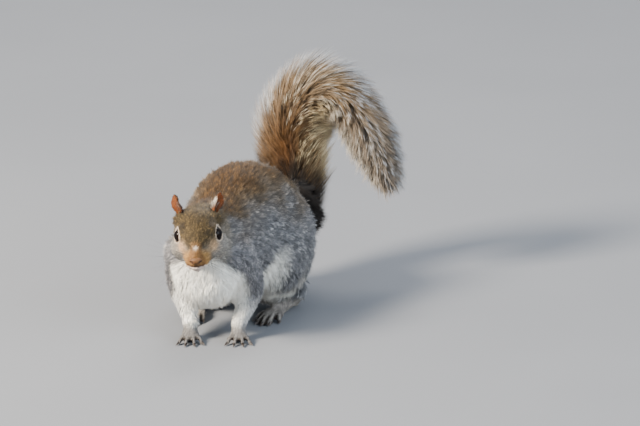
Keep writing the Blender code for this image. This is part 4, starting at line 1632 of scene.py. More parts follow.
    @classmethod
    def plant_ear(cls, surface: Surface, name: str, seed: int) -> Object:
        """Plants one ear's fur on its skin."""
        roots = surface.scatter(surface.values["density"], seed)
        return cls.plant_piece(name, roots, np.array([0.0, 0.3, 1.0]), 2, seed + 10)

    def build(self, pieces: dict[Region, Array]) -> list[Object]:
        """Plants the coat piece by piece.

        Args:
            pieces: For each piece, which points of the skin it covers.

        Returns:
            The coat's pieces.
        """
        made = []
        for number, (region, share) in enumerate(pieces.items()):
            roots = self.skin.scatter(self.skin.values["density"] * share, seed=100 + number)
            segments = 2 if region in self.CURVED else 1
            axis = np.array(region.value)
            if region in self.ON_HEAD:
                axis = axis @ AXES.head_turn.T
            made.append(self.plant_piece(region.name.lower(), roots, axis, segments, seed=200 + 10 * number))
        return made


# ---- the tail's coat ----
class TailCoat:
    """Long hair that fans from the tail's core towards its tip."""

    LOCKS = 36000
    WIDTH, WIDTHS = 0.42, (0.65, 1.35)
    CORE_RADIUS = 1.5
    LAG = 1.0
    OUTER, INNER, STRAY = (0.82, 1.0), (0.42, 0.84), (0.98, 1.06)
    OUTER_SHARE, STRAY_SHARE = 0.72, 0.08
    ROUND = 22.0
    DEEP_SHARE = 0.8
    CELL, STREAK_BREADTH, STREAK_LENGTH = 3.4, 2.4, 17.0
    PULL, TIP_JITTER, BEND_JITTER = (0.10, 0.62), 1.5, 1.3
    ROOT_WAY, TIP_WAY, BEND_LENGTH = (0.82, 0.42), (0.60, 0.76), 0.36
    BEND_SHARES = (0.0, 0.34, 0.68, 1.0)
    CUTS = (0.0, 0.24, 0.42, 0.60, 0.80, 1.01)
    EARLY, LATE, BARE_ROOT = (0.30, 0.44), (0.50, 0.68), (0.33, 0.21)
    INNER_SIDE = (0.05, -0.45)
    TAWNY_STARTS, TAWNY_SHIFTS, TAWNY_ENDS = (0.10, 0.20), (0.30, 0.60), (0.34, 0.58)
    ARCH_STARTS, ARCH_ENDS = (0.22, 0.32), (0.76, 0.64)
    TAN, TIP_GREY, BRIGHT = (0.35, 0.9), (0.62, 0.85), (0.88, 0.95)
    RIM_LATE, RIM_EARLY = (0.66, 0.92), (0.84, 0.99)
    DARK_STREAK, PALE_STREAK = (0.70, 0.80), (0.0, 0.12)

    def __init__(self, line: TailLine) -> None:
        """Keeps the tail's line."""
        self.line = line

    def lay_out(self, seed: int) -> dict[str, Array]:
        """Chooses where each lock starts and ends.

        Args:
            seed: Which random places.

        Returns:
            Where along and round the tail each lock ends, which streak of tone it is in, the way out
            from the core at its tip, and its line.
        """
        draws = np.random.default_rng(seed)
        count = self.LOCKS
        shares = np.linspace(0.0, 1.0, 400)
        at = self.line.at(shares)
        weight = np.cumsum(at["half_breadth"] + at["half_depth"] + 6.0)
        end = np.interp(draws.uniform(size=count), weight / weight[-1], shares)
        angle = draws.uniform(0.0, 2.0 * math.pi, count)
        cos, sin = np.cos(angle)[:, None], np.sin(angle)[:, None]
        chance = draws.uniform(size=count)
        reach = draws.uniform(*self.OUTER, count)
        reach = np.where(chance > self.OUTER_SHARE, draws.uniform(*self.INNER, count), reach)
        reach = np.where(chance < self.STRAY_SHARE, draws.uniform(*self.STRAY, count), reach)
        tip_at = self.line.at(end)
        breadth = tip_at["breadth"] * tip_at["half_breadth"][:, None] * cos
        spoke = (breadth + tip_at["depth"] * tip_at["half_depth"][:, None] * sin) * reach[:, None]
        distance = lengths(spoke)
        tip = tip_at["place"] + spoke
        layer = (distance > self.DEEP_SHARE * tip_at["half_depth"]).astype(int)
        around = np.floor(angle * self.ROUND / self.CELL + 0.7 * np.sin(end * 90.0)).astype(int)
        down = np.floor(end * self.line.length / self.CELL + 0.7 * np.sin(angle * 7.0)).astype(int)
        cell = numbered(np.stack([around, down, layer], axis=1))
        pull = draws.uniform(*self.PULL, cell.max() + 1)[cell] * draws.uniform(0.6, 1.1, count)
        tip = mix(tip, middles(tip, cell), pull[:, None])
        tip += draws.normal(0.0, self.TIP_JITTER, (cell.max() + 1, 3))[cell]
        root_at = self.line.at(np.clip(end - self.LAG * distance / self.line.length, 0.0, Skin.CORE_SHARE))
        out = unit(root_at["breadth"] * cos + root_at["depth"] * sin)
        root = root_at["place"] + out * self.CORE_RADIUS
        bend = self.BEND_LENGTH * lengths(tip - root)[:, None]
        second = root + (out * self.ROOT_WAY[0] + root_at["along"] * self.ROOT_WAY[1]) * bend
        third = tip - (unit(spoke) * self.TIP_WAY[0] + tip_at["along"] * self.TIP_WAY[1]) * bend
        third += draws.normal(0.0, self.BEND_JITTER, third.shape)
        lines = []
        for share in self.BEND_SHARES:
            rest = 1.0 - share
            early = root * rest**3 + 3.0 * second * rest**2 * share
            lines.append(early + 3.0 * third * rest * share**2 + tip * share**3)
        around = np.floor(angle * self.ROUND / self.STREAK_BREADTH + 1.2 * np.sin(end * 31.0)).astype(int)
        around -= around.min()
        shift = np.random.default_rng(79).uniform(size=around.max() + 1)[around]
        down = np.floor(end * self.line.length / self.STREAK_LENGTH + shift).astype(int)
        streak = numbered(np.stack([around, down], axis=1))
        laid = {"end": end, "angle": angle, "streak": streak, "spoke": unit(spoke)}
        return {**laid, "lines": np.stack(lines, axis=1)}

    def colours(self, layout: dict[str, Array], seed: int) -> dict[str, Array]:
        """Tawny round the core, then a dark band, then silver and cream tips, with painted shade making the
        base nearly black.

        Args:
            layout: What lay_out returned.
            seed: Which random variation.

        Returns:
            Colours and numbers for each lock.
        """
        draws = np.random.default_rng(seed)
        end, outer = layout["end"], np.cos(layout["angle"])
        count = len(end)
        chance = draws.uniform(size=count)
        patch = draws.uniform(size=layout["streak"].max() + 1)[layout["streak"]]
        streak = mix(chance, patch, 0.60)
        early, late = 1.0 - fade(*self.EARLY, end), fade(*self.LATE, end)
        inner = fade(*self.INNER_SIDE, outer)
        low, high = (mix(last, first, early) for last, first in zip(self.RIM_LATE, self.RIM_EARLY))
        rim = fade(low, high, np.abs(outer))
        tawny = 0.85 * bump(mix(0.30, 0.05, fade(*self.TAWNY_SHIFTS, end)), 0.78, outer)
        tawny *= fade(*self.TAWNY_STARTS, end) * mix(1.0, 0.15, fade(*self.TAWNY_ENDS, end))
        under_arch = inner * fade(*self.ARCH_STARTS, end) * fade(*self.ARCH_ENDS, end)
        base = np.tile(np.array(PALETTE.tail_grey), (count, 1))
        base = tinted(base, PALETTE.tail_tan, 0.6 * fade(*self.TAN, streak))
        base = tinted(base, PALETTE.tail_core, tawny)
        base = tinted(base, PALETTE.tail_end, 0.6 * fade(*self.TIP_GREY, end))
        base = tinted(base, PALETTE.tail_umber, 0.45 * inner * early)
        base = base * np.exp(0.5 * (patch - 0.5) + 0.45 * (chance - 0.5))[:, None]
        silver = np.array(PALETTE.tail_silver) * draws.uniform(0.72, 1.0, count)[:, None]
        creamy = inner * (1.0 - 0.7 * late) + 0.5 * (1.0 - rim) * (1.0 - late)
        pale = tinted(silver, PALETTE.tail_cream, np.clip(creamy, 0.0, 1.0))
        much_pale = 0.26 + 0.16 * bump(0.50, 0.16, end) + 0.30 * rim + 0.15 * late
        much_pale += 0.06 * inner + 0.20 * under_arch - 0.20 * tawny
        is_pale = fade(*self.PALE_STREAK, np.clip(much_pale, 0.0, 0.92) - streak)
        tip = mix(base * 1.25, pale, is_pale[:, None])
        is_dark = fade(*self.DARK_STREAK, streak) * (1.0 - 0.95 * under_arch)
        tip = tinted(tip, PALETTE.tail_dark, is_dark * (1.0 - 0.5 * tawny) * (1.0 - 0.55 * late))
        # Painted shade: locks that end low on the tail, behind the rump, go near black.
        root = fade(*self.BARE_ROOT, end + 0.08 * (streak - 0.5) - 0.04 * outer)
        base = tinted(base, PALETTE.tail_root_shade, root)
        tip = tinted(tip, PALETTE.tail_root_shade, root * mix(1.0, 0.5, fade(*self.BRIGHT, chance)))
        band = (1.0 - 0.75 * tawny * (1.0 - rim)) * draws.uniform(0.30, 0.85, count)
        return {"marking": base, "tips": tip, "band": band * (1.0 - 0.5 * np.maximum(late, inner))}

    def build(self) -> list[Object]:
        """Plants the tail's hair in pieces along its length."""
        layout = self.lay_out(seed=71)
        values = self.colours(layout, seed=72)
        draws = np.random.default_rng(73)
        lines, spoke, end = layout["lines"], layout["spoke"], layout["end"]
        along = unit(lines[:, -1] - lines[:, 0])
        across = unit(np.cross(spoke, along) + draws.normal(0.0, 0.25, along.shape))
        across = flattened(across, along)
        widths = self.WIDTH * draws.uniform(*self.WIDTHS, len(along))
        made = []
        for number, (low, high) in enumerate(zip(self.CUTS, self.CUTS[1:]), start=1):
            keep = (end >= low) & (end < high)
            tufts = Tufts(lines[keep], across[keep], spoke[keep], widths[keep])
            flat = np.stack([layout["angle"] / (2.0 * math.pi), (end - low) / (high - low)], axis=1)
            chosen = {key: value[keep] for key, value in values.items()}
            made.append(plant(f"coat_tail_{number}", tufts, np.clip(flat[keep], 0.0, 1.0), chosen))
            LOG.info("coat_tail_%d: %d locks", number, keep.sum())
        return made


# ---- finishes ----
Socket = bpy.types.NodeSocket
Given = Socket | Colour | float


class Finish:
    """A node material with a Principled shader, built step by step."""

    def __init__(self, name: str, **constants: float) -> None:
        """Makes the material.

        Args:
            name: Its name.
            constants: The shader's plain values, by socket name with _ for each space.
        """
        self.material = bpy.data.materials.new(name)
        self.material.use_nodes = True
        self.nodes = self.material.node_tree.nodes
        self.links = self.material.node_tree.links
        self.shader = next(node for node in self.nodes if node.type == "BSDF_PRINCIPLED")
        for key, value in constants.items():
            self.shader.inputs[key.replace("_", " ")].default_value = value

    def node(
        self, kind: str, feeds: dict[int | str, Given], output: int | str = 0, **settings: str
    ) -> Socket:
        """Adds a node.

        Args:
            kind: Blender's name for it, without its first words.
            feeds: For each input, a socket, a number, or red, green and blue.
            output: Which output is wanted.
            settings: The node's own options.

        Returns:
            The output's socket.
        """
        node = self.nodes.new(f"ShaderNode{kind}")
        for key, setting in settings.items():
            setattr(node, key, setting)
        for key, value in feeds.items():
            if isinstance(value, Socket):
                self.links.new(value, node.inputs[key])
            else:
                node.inputs[key].default_value = value if isinstance(value, float) else (*value, 1.0)
        return node.outputs[output]

    def attribute(self, name: str, output: str) -> Socket:
        """A value that the mesh stores, as its Color or its Fac."""
        return self.node("Attribute", {}, output, attribute_name=name)

    def ramp(self, value: Socket, low: float, high: float, into: Span = (0.0, 1.0)) -> Socket:
        """A soft step of a value."""
        feeds = dict(enumerate((value, low, high, *into)))
        return self.node("MapRange", feeds, interpolation_type="SMOOTHSTEP")

    def times(self, first: Socket, second: Given) -> Socket:
        """Two values multiplied."""
        return self.node("Math", {0: first, 1: second}, operation="MULTIPLY")

    def blend(self, share: Given, first: Given, second: Given, mode: str = "MIX") -> Socket:
        """Two colours mixed, with a share of the second."""
        return self.node("Mix", {0: share, 6: first, 7: second}, 2, data_type="RGBA", blend_type=mode)

    def shaded(self, colour: Socket, tint: Given) -> Socket:
        """A colour multiplied by another."""
        return self.blend(1.0, colour, tint, "MULTIPLY")

    def noise(self, scale: float) -> Socket:
        """Noise in the object's own space, with scale hills to a metre."""
        place = self.node("TexCoord", {}, "Object")
        return self.node("TexNoise", {"Vector": place, "Scale": scale, "Detail": 3.0})

    def bump(self, height: Socket, distance: float, strength: float) -> None:
        """Raises the surface by a height."""
        raised = self.node("Bump", {"Strength": strength, "Distance": distance, "Height": height})
        self.links.new(raised, self.shader.inputs["Normal"])

    def coloured(self, socket: Socket) -> Material:
        """Sets the base colour, and gives the finished material."""
        self.links.new(socket, self.shader.inputs["Base Color"])
        return self.material


@dataclass(frozen=True)
class FurFinish:
    """Fur that is dark at its roots, partly darker underfur and partly painted shade deep in the coat, with a
    dark band and coloured tips.
    """

    name: str = "fur"
    root_shade: float = 0.45
    root_ends: float = 0.42
    band_at: Triple = (0.38, 0.55, 0.75)
    tips_at: Span = (0.62, 0.85)
    band_share: float = 0.66
    band: Colour = (0.022, 0.018, 0.015)
    sheen: float = 0.05
    sheen_roughness: float = 0.45

    def make(self) -> Material:
        """Makes the material."""
        finish = Finish(self.name, Roughness=0.62, Specular_IOR_Level=0.15)
        finish.shader.inputs["Sheen Weight"].default_value = self.sheen
        finish.shader.inputs["Sheen Roughness"].default_value = self.sheen_roughness
        along = finish.attribute("lengthwise", "Fac")
        marking = finish.attribute("marking", "Color")
        # Darker roots: partly the real darker underfur, partly painted shade deep in the coat.
        roots = finish.shaded(marking, (self.root_shade,) * 3)
        base = finish.blend(finish.ramp(along, 0.0, self.root_ends), roots, marking)
        start, middle, end = self.band_at
        band = finish.times(finish.ramp(along, start, middle), finish.ramp(along, middle, end, (1.0, 0.0)))
        band = finish.times(finish.times(band, finish.attribute("band", "Fac")), self.band_share)
        banded = finish.blend(band, base, self.band)
        tips = finish.ramp(along, *self.tips_at)
        return finish.coloured(finish.blend(tips, banded, finish.attribute("tips", "Color")))


@dataclass(frozen=True)
class SkinFinish:
    """The skin under the coat: the same markings, darker, with a fine nap."""

    shade: float = 0.62
    grains: float = 1400.0

    def make(self) -> Material:
        """Makes the material."""
        finish = Finish("skin", Roughness=0.75, Sheen_Weight=0.05, Specular_IOR_Level=0.2)
        marking = finish.attribute("marking", "Color")
        grain = finish.noise(self.grains)
        finish.bump(grain, distance=0.0003, strength=0.6)
        shaded = finish.shaded(marking, (self.shade,) * 3)
        return finish.coloured(finish.blend(finish.ramp(grain, 0.35, 0.65), shaded, marking))


@dataclass(frozen=True)
class WetFinish:
    """A wet dark eye, a little brown round its pupil."""

    pupil: Colour = (0.004, 0.003, 0.003)
    iris: Colour = (0.007, 0.0035, 0.002)
    streaks: float = 2600.0

    def make(self) -> Material:
        """Makes the material."""
        finish = Finish("eye", Roughness=0.06, Specular_IOR_Level=0.2, IOR=1.3)
        streaks = finish.ramp(finish.noise(self.streaks), 0.3, 0.7, (0.55, 1.0))
        ring = finish.times(finish.attribute("iris", "Fac"), streaks)
        return finish.coloured(finish.blend(ring, self.pupil, self.iris))


@dataclass(frozen=True)
class BareFinish:
    """Bare or thinly haired skin, with fine pores."""

    name: str
    roughness: float
    pores: float = 1800.0
    pore_shade: Colour = (0.7, 0.66, 0.64)

    def make(self) -> Material:
        """Makes the material."""
        finish = Finish(self.name, Roughness=self.roughness, Specular_IOR_Level=0.28, Subsurface_Weight=0.08)
        finish.shader.inputs["Subsurface Scale"].default_value = 0.002
        marking = finish.attribute("marking", "Color")
        grain = finish.noise(self.pores)
        finish.bump(grain, distance=0.00012, strength=0.7)
        darker = finish.shaded(marking, self.pore_shade)
        return finish.coloured(finish.blend(finish.ramp(grain, 0.4, 0.66), darker, marking))


@dataclass(frozen=True)
class HornFinish:
    """Dark horn, paler towards its tip."""

    name: str
    root: Colour
    tip: Colour
    roughness: float = 0.35
    cloud_shade: Colour = (0.75, 0.72, 0.7)

    def make(self) -> Material:
        """Makes the material."""
        finish = Finish(self.name, Roughness=self.roughness, Specular_IOR_Level=0.5)
        clouds = finish.ramp(finish.noise(900.0), 0.3, 0.7)
        along = finish.attribute("lengthwise", "Fac")
        horn = finish.blend(finish.ramp(along, 0.35, 1.0), self.root, self.tip)
        return finish.coloured(finish.shaded(horn, finish.blend(clouds, self.cloud_shade, (1.0, 1.0, 1.0))))


@dataclass(frozen=True)
class FloorFinish:
    """A pale matte studio floor."""

    pale: Colour = (0.165, 0.170, 0.180)
    dim: Colour = (0.155, 0.160, 0.170)

    def make(self) -> Material:
        """Makes the material."""
        finish = Finish("studio_floor", Roughness=0.85, Specular_IOR_Level=0.2)
        return finish.coloured(finish.blend(finish.ramp(finish.noise(3.0), 0.3, 0.7), self.dim, self.pale))


def dress(obj: Object, material: Material) -> None:
    """Gives a piece its material and its slot, and fixes it to the body.

    Args:
        obj: The piece.
        material: Its finish.
    """
    obj.data.materials.clear()
    obj.data.materials.append(material)
    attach(obj, BODY)


# ---- eyes, nose, ears ----
@dataclass
class Eyes:
    """Two glossy balls, each with its pupil and iris marked by their angle from its gaze."""

    rings: int = 48
    segments: int = 96
    gaze: Triple = (0.88, -0.44, 0.10)
    inset: float = 0.03
    pupil_edge: Span = (22.0, 27.0)
    iris_edge: Span = (52.0, 44.0)

    def build(self) -> list[Object]:
        """Makes both eyes.

        Returns:
            The eyes, the left one first.
        """
        made = []
        for side in SIDES:
            bm = bmesh.new()
            low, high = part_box(f"eye_{side}")
            radius = (high[2] - low[2]) / 2.0 - self.inset * MM
            bmesh.ops.create_uvsphere(bm, u_segments=self.segments, v_segments=self.rings, radius=radius)
            bmesh.ops.translate(bm, verts=bm.verts, vec=Vector(AXES.to_row(eye_centre(side))))
            obj = built(f"eye_ball_{side}", bm)
            obj.data.shade_smooth()
            outward = unit(Surface.from_object(obj).points - eye_centre(side))
            angle = np.degrees(np.arccos(np.clip(outward @ AXES.heading(self.gaze, side), -1.0, 1.0)))
            add_values(obj, "iris", fade(*self.pupil_edge, angle) * fade(*self.iris_edge, angle))
            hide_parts(f"eye_{side}")
            made.append(obj)
        return made


@dataclass
class Nose:
    """The nose pad with its two nostrils, in head axes."""

    middle: Triple = (0.0, -24.9, -9.4)
    half: Triple = (4.5, 2.7, 2.8)
    low_narrow: float = 0.22
    cleft_width: float = 0.45
    cleft_depth: float = 0.55
    nostril: Span = (3.5, -0.7)
    nostril_half: Span = (1.25, 1.0)
    nostril_depth: float = 1.7
    nostril_tilt: float = 0.25
    subdivisions: int = 5

    def build(self) -> Object:
        """Makes the pad.

        Returns:
            The pad, in the row frame.
        """
        bm = bmesh.new()
        bmesh.ops.create_icosphere(bm, subdivisions=self.subdivisions, radius=1.0)
        ball = np.array([vert.co[:] for vert in bm.verts])
        faces = np.array([[vert.index for vert in face.verts] for face in bm.faces])
        bm.free()
        points = ball * self.half
        points[:, 0] *= 1.0 - self.low_narrow * fade(0.2, -1.0, ball[:, 2])
        cleft = bump(0.0, self.cleft_width, points[:, 0]) * fade(0.2, -0.9, ball[:, 2])
        across = (np.abs(points[:, 0]) - self.nostril[0]) / self.nostril_half[0]
        aslant = self.nostril_tilt * across * np.sign(points[:, 0])
        tall = (points[:, 2] - self.nostril[1] - aslant) / self.nostril_half[1]
        hollow = np.exp(-(across**2 + tall**2)) * fade(0.2, -0.5, ball[:, 1])
        points[:, 1] += cleft * self.cleft_depth + hollow * self.nostril_depth
        # Painted shade: the nostrils' hollows and the cleft under the pad are darkened.
        dark = np.clip(hollow * 2.0 + cleft * 0.5, 0.0, 1.0)
        points = points + self.middle
        points[:, 0] += Muzzle().swung(points)
        obj = mesh_object("nose_pad", AXES.from_head(points), faces)
        add_values(obj, "marking", tinted(np.array(PALETTE.nose), np.array(PALETTE.lip) * 0.4, dark))
        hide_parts("nose")
        return obj


@dataclass
class Ears:
    """Both ears, with short fur behind, sparse fur inside and pale fluff on the inner edge."""

    root: Triple = (14.2, 15.5, 7.6)
    along: Triple = (0.20, 0.68, 0.70)
    facing: Triple = (0.78, -0.60, 0.20)
    length: float = 18.5
    shorter: float = 0.94
    inner_edge: float = 0.72
    slimmer: float = 0.80
    base_slimmer: float = 0.45
    inner_slimmer: float = 0.66
    base_shift: float = 4.4
    right_fluff: float = 0.12
    voxel: float = 0.35
    rounds: int = 3

    GROWTH = {
        "length": (2.3, 1.6, 5.6),
        "width": (0.28, 0.28, 0.22),
        "density": (13.0, 7.0, 12.0),
        "depth": (0.7, 0.5, 2.6),
    }

    def axes(self, side: str) -> tuple[Array, Array, Array, Array]:
        """An ear's root, length, facing and inner-edge directions in animal axes.

        Args:
            side: left or right.

        Returns:
            Four vectors.
        """
        root = AXES.from_head(np.array(self.root) * (SIDES[side], 1.0, 1.0))
        along = AXES.heading(self.along, side)
        facing = flattened(AXES.heading(self.facing, side), along)
        inner = np.cross(along, facing)
        return root, along, facing, inner * np.sign(inner @ AXES.heading((-1.0, 0.0, 0.0), side))

    def build(self, side: str) -> tuple[Object, Surface]:
        """Makes one ear's skin.

        Args:
            side: left or right.

        Returns:
            The ear's object and its surface with its values.
        """
        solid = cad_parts[f"ear_{side}"]
        obj = melted(linked(f"ear_skin_{side}", solid.data.copy()), self.voxel, self.rounds)
        surface = Surface.from_object(obj)
        root, along, _, inner = self.axes(side)
        rise, across = (surface.points - root) @ along, (surface.points - root) @ inner
        lower = self.shorter * mix(1.0, self.inner_edge, fade(-1.0, 4.5, across))
        high = fade(0.0, 0.85, rise / self.length)
        slim = self.slimmer * mix(self.base_slimmer, 1.0, high)
        slim *= mix(1.0, self.inner_slimmer, fade(0.0, 4.0, across))
        sideways = across * (slim - 1.0) + self.base_shift * (1.0 - high)
        shrink = (rise * (lower - 1.0))[:, None] * along + sideways[:, None] * inner
        move_points(obj, surface.points + shrink)
        obj.data.shade_smooth()
        surface = Surface.from_object(obj)
        self._paint(surface, side)
        add_values(obj, "marking", surface.values["colour"])
        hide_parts(f"ear_{side}")
        return obj, surface

    def _paint(self, surface: Surface, side: str) -> None:
        """Adds the ear's colours and how its fur grows.

        Args:
            surface: The ear's skin.
            side: left or right.
        """
        root, along, facing, inner = self.axes(side)
        away = surface.points - root
        high = np.clip(away @ along / self.length, 0.0, 1.0)
        across = away @ inner
        toward = surface.normals @ facing
        inside = fade(0.0, 0.45, toward)
        fluff = fade(2.0, 3.0, across) * fade(0.10, 0.35, high) * fade(0.92, 0.70, high)
        fluff *= (1.0 - 0.9 * inside) * (self.right_fluff if side == "right" else 1.0)
        fold = fade(0.5, 2.0, across) * fade(0.95, 0.80, high)
        rim = fade(0.75, 0.2, np.abs(toward)) * fade(0.5, 0.9, high)
        rust = np.array(PALETTE.ear_rust)
        colour = tinted(np.array(PALETTE.crown), rust, inside)
        colour = tinted(colour, rust * 0.45, 0.7 * inside * fade(0.55, 0.1, high))
        colour = tinted(colour, rust, 0.9 * fold)
        colour = tinted(colour, PALETTE.ear_cream, 0.6 * fluff)
        colour = tinted(colour, PALETTE.brow, 0.6 * rim)
        comb = along + inner * (1.5 * fade(0.0, 4.0, across))[:, None]
        surface.values = {
            "colour": colour,
            "grizzle": mix(0.8, 0.1, inside) * (1.0 - fluff),
            "comb": flattened(comb, surface.normals),
        }
        for key, (behind, within, fluffy) in self.GROWTH.items():
            surface.values[key] = mix(mix(behind, within, inside), fluffy, fluff)


# ---- claws and whiskers ----
def tapered_tubes(lines: Array, radii: Array, sides: int) -> tuple[Array, Array, Array]:
    """Round tubes along lines, closed at both ends.

    Args:
        lines: Middle lines, as (tube, point, axis).
        radii: One radius for each point of a line.
        sides: How many corners a ring has.

    Returns:
        Points, triangles, and each point's share of the length.
    """
    tubes, rings = lines.shape[:2]
    along = unit(np.gradient(lines, axis=1))
    side = unit(np.cross(along, np.array([0.21, 0.13, 0.97])))
    over = np.cross(along, side)
    angles = np.linspace(0.0, 2.0 * math.pi, sides, endpoint=False)[:, None]
    spokes = side[:, :, None] * np.cos(angles) + over[:, :, None] * np.sin(angles)
    points = (lines[:, :, None] + spokes * radii[None, :, None, None]).reshape(-1, 3)
    pattern = []
    for near in range(0, (rings - 1) * sides, sides):
        far = near + sides
        for a in range(sides):
            b = (a + 1) % sides
            pattern += [(near + a, near + b, far + b), (near + a, far + b, far + a)]
    last = (rings - 1) * sides
    for a in range(1, sides - 1):
        pattern += [(0, a + 1, a), (last, last + a, last + a + 1)]
    faces = (np.array(pattern)[None] + np.arange(tubes)[:, None, None] * rings * sides).reshape(-1, 3)
    return points, faces, np.tile(np.repeat(np.linspace(0.0, 1.0, rings), sides), tubes)


@dataclass
class Claws:
    """Curved claws on every toe."""

    length: float = 5.418
    sunk: float = 1.3
    radius: float = 0.92
    taper: float = 0.88
    drop: float = 1.35
    curve: float = 2.2
    raised: float = 0.25
    rings: int = 9
    sides: int = 10

    def build(self) -> list[Object]:
        """Makes one set for each foot.

        Returns:
            The sets, in the order of the feet.
        """
        share = np.linspace(0.0, 1.0, self.rings)[:, None]
        radii = self.radius * (1.0 - share[:, 0] ** 1.5 * self.taper)
        made = []
        for foot in FEET:
            lines = []
            for tip, ahead in foot.tips():
                start = tip - ahead * self.sunk + (0.0, 0.0, self.raised)
                lines.append(start + ahead * self.length * share - (0.0, 0.0, self.drop) * share**self.curve)
            points, faces, along = tapered_tubes(np.stack(lines), radii, self.sides)
            obj = mesh_object(f"claws_{foot.node}", AXES.off_floor(points, Skin.FLOOR_GAP), faces)
            add_values(obj, "lengthwise", along)
            made.append(obj)
        return made


@dataclass
class Whiskers:
    """Fine dark whiskers from both sides of the muzzle, in head axes."""

    rows: tuple[tuple[float, float, float, int, float], ...] = (
        (6.0, -20.0, -9.0, 4, 0.26),
        (6.7, -19.5, -11.0, 4, 0.0),
        (6.9, -18.5, -13.0, 4, -0.30),
        (6.0, -18.5, -14.8, 3, -0.62),
    )
    step: Triple = (0.35, 2.2, -0.15)
    longest: float = 42.0
    sag: float = 0.36
    radius: float = 0.095
    taper: float = 0.82
    rings: int = 12
    sides: int = 5

    def build(self) -> Object:
        """Makes all the whiskers as one piece."""
        draws = np.random.default_rng(31)
        share = np.linspace(0.0, 1.0, self.rings)[:, None]
        lines = []
        for mirror in SIDES.values():
            for x, y, z, count, rise in self.rows:
                for number in range(count):
                    start = np.array([x, y, z]) + np.array(self.step) * number
                    back, up = draws.normal(0.0, 0.06), draws.normal(0.0, 0.07)
                    way = unit(np.array([1.0, 0.26 * number - 0.20 + back, rise + up]))
                    bend = np.array([-0.15, 0.75, draws.normal(0.0, 0.10) - 0.42])
                    length = self.longest * (0.52 + 0.15 * number) * draws.uniform(0.85, 1.05)
                    curve = (start + (way * share + bend * self.sag * share**2) * length) * (mirror, 1.0, 1.0)
                    curve[:, 0] += Muzzle().swung(curve[:1])
                    lines.append(AXES.from_head(curve))
        radii = self.radius * (1.0 - self.taper * share[:, 0])
        points, faces, along = tapered_tubes(np.stack(lines), radii, self.sides)
        obj = mesh_object("whiskers", points, faces)
        add_values(obj, "lengthwise", along)
        return obj


# ---- the studio ----
@dataclass(frozen=True)
class Lamp:
    """A soft square light, placed along the view's right, its level way back and up, in metres."""

    name: str
    place: Triple
    size: float
    power: float
    tint: Colour


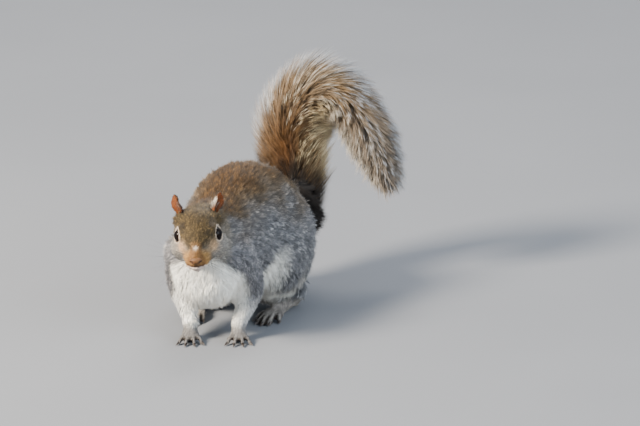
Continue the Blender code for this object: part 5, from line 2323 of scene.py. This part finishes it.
@dataclass
class Studio:
    """Floor, lights and camera."""

    azimuth: float = 18.0
    elevation: float = 16.0
    distance: float = 3.05
    lens: float = 240.75
    clip: Span = (0.1, 50.0)
    aim_across: float = 75.5
    aim_up: float = 94.0
    floor_half: float = 14.0
    lit_height: float = 0.07
    room: Colour = (0.72, 0.82, 0.97)
    room_strength: float = 1.1
    lamps: tuple[Lamp, ...] = (
        Lamp("key", (-1.65, 0.95, 1.35), 0.6, 255.0, (1.0, 0.91, 0.78)),
        Lamp("fill", (1.6, 1.2, 0.9), 1.4, 52.0, (0.78, 0.89, 1.0)),
        Lamp("top", (0.2, -1.1, 1.6), 0.9, 32.0, (1.0, 0.97, 0.93)),
    )

    def _basis(self) -> tuple[Vector, Vector, Vector]:
        """The camera's right, up and backward directions."""
        turn, tilt = math.radians(self.azimuth), math.radians(self.elevation)
        back = Vector((math.sin(turn) * math.cos(tilt), -math.cos(turn) * math.cos(tilt), math.sin(tilt)))
        right = Vector((math.cos(turn), math.sin(turn), 0.0))
        return right, back.cross(right), back

    @staticmethod
    def _aim(obj: Object, place: Vector, backward: Vector) -> None:
        """Puts a lamp or the camera in its place, facing away from backward.

        Args:
            obj: What is placed.
            place: Where, in metres.
            backward: The way that its back faces.
        """
        obj.location = place
        obj.rotation_mode = "QUATERNION"
        obj.rotation_quaternion = backward.to_track_quat("Z", "Y")

    def place_camera(self) -> None:
        """Puts the camera where it sees the animal as it stands in its pose."""
        right, up, back = self._basis()
        target = Vector(AXES.to_row(np.zeros(3))) + right * (self.aim_across * MM) + up * (self.aim_up * MM)
        camera = bpy.data.cameras.new("camera")
        camera.lens = self.lens
        camera.clip_start, camera.clip_end = self.clip
        obj = linked("camera", camera)
        self._aim(obj, target + back * self.distance, back)
        bpy.context.scene.camera = obj

    def lay_floor(self) -> None:
        """A wide pale floor at the soles' level."""
        bm = bmesh.new()
        bmesh.ops.create_grid(bm, x_segments=1, y_segments=1, size=self.floor_half)
        floor = built("floor", bm)
        floor.data.materials.append(FloorFinish().make())

    def light(self) -> None:
        """A warm key from the upper left, a cool fill and a soft grey room."""
        right, _, back = self._basis()
        level = Vector((back.x, back.y, 0.0)).normalized()
        for lamp in self.lamps:
            light = bpy.data.lights.new(lamp.name, "AREA")
            light.shape, light.size, light.energy, light.color = "SQUARE", lamp.size, lamp.power, lamp.tint
            place = right * lamp.place[0] + level * lamp.place[1] + Vector((0.0, 0.0, lamp.place[2]))
            self._aim(linked(lamp.name, light), place, place - Vector((0.0, 0.0, self.lit_height)))
        world = bpy.data.worlds.new("room")
        world.use_nodes = True
        background = next(node for node in world.node_tree.nodes if node.type == "BACKGROUND")
        background.inputs["Color"].default_value = (*self.room, 1.0)
        background.inputs["Strength"].default_value = self.room_strength
        bpy.context.scene.world = world

    def build(self) -> None:
        """Sets up the studio."""
        self.lay_floor()
        self.light()
        self.place_camera()


def build_body(fur: Material, tail: TailLine) -> None:
    """Makes the skin and the coat on it.

    Args:
        fur: The coat's finish.
        tail: The tail's line, whose core the skin covers.
    """
    skin, surface = Skin(BodyMap(), tail).build()
    Markings().paint(surface)
    LieOfCoat().comb(surface)
    add_values(skin, "marking", surface.values["colour"])
    skin.data.shade_smooth()
    dress(skin, SkinFinish().make())
    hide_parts(*FLESH, *TAIL_NODES)
    LOG.info("skin: %d faces", len(surface.faces))
    for piece in BodyCoat(surface).build(regions_of(surface)):
        dress(piece, fur)


def build_ears(fur: Material) -> None:
    """Makes both ears and their fur.

    Args:
        fur: The coat's finish.
    """
    bare = BareFinish("ear_skin", roughness=0.6).make()
    for number, side in enumerate(SIDES):
        ear, surface = Ears().build(side)
        dress(ear, bare)
        coat = BodyCoat.plant_ear(surface, f"coat_ear_{side}", seed=500 + number)
        dress(coat, fur)
        LOG.info("ear_%s: %d faces", side, len(surface.faces))


def main() -> None:
    """Builds the animal piece by piece."""
    logging.basicConfig(level=logging.INFO, format="%(name)s: %(message)s")
    fur = FurFinish().make()
    tail = TailLine()
    build_body(fur, tail)
    build_ears(fur)
    long_fur = FurFinish("tail_fur", root_shade=0.5, band_at=(0.42, 0.60, 0.80), tips_at=(0.70, 0.84)).make()
    for piece in TailCoat(tail).build():
        dress(piece, long_fur)
    for eye in Eyes().build():
        dress(eye, WetFinish().make())
    dress(Nose().build(), BareFinish("nose_skin", roughness=0.62, pores=2600.0).make())
    horn = HornFinish("claw", (0.018, 0.012, 0.009), (0.05, 0.035, 0.027)).make()
    for claws in Claws().build():
        dress(claws, horn)
    hair = HornFinish("whisker", (0.02, 0.016, 0.014), (0.05, 0.04, 0.035), 0.5).make()
    dress(Whiskers().build(), hair)
    LOG.info("eyes, nose, claws and whiskers done")
    Studio().build()


if __name__ == "__main__":
    main()
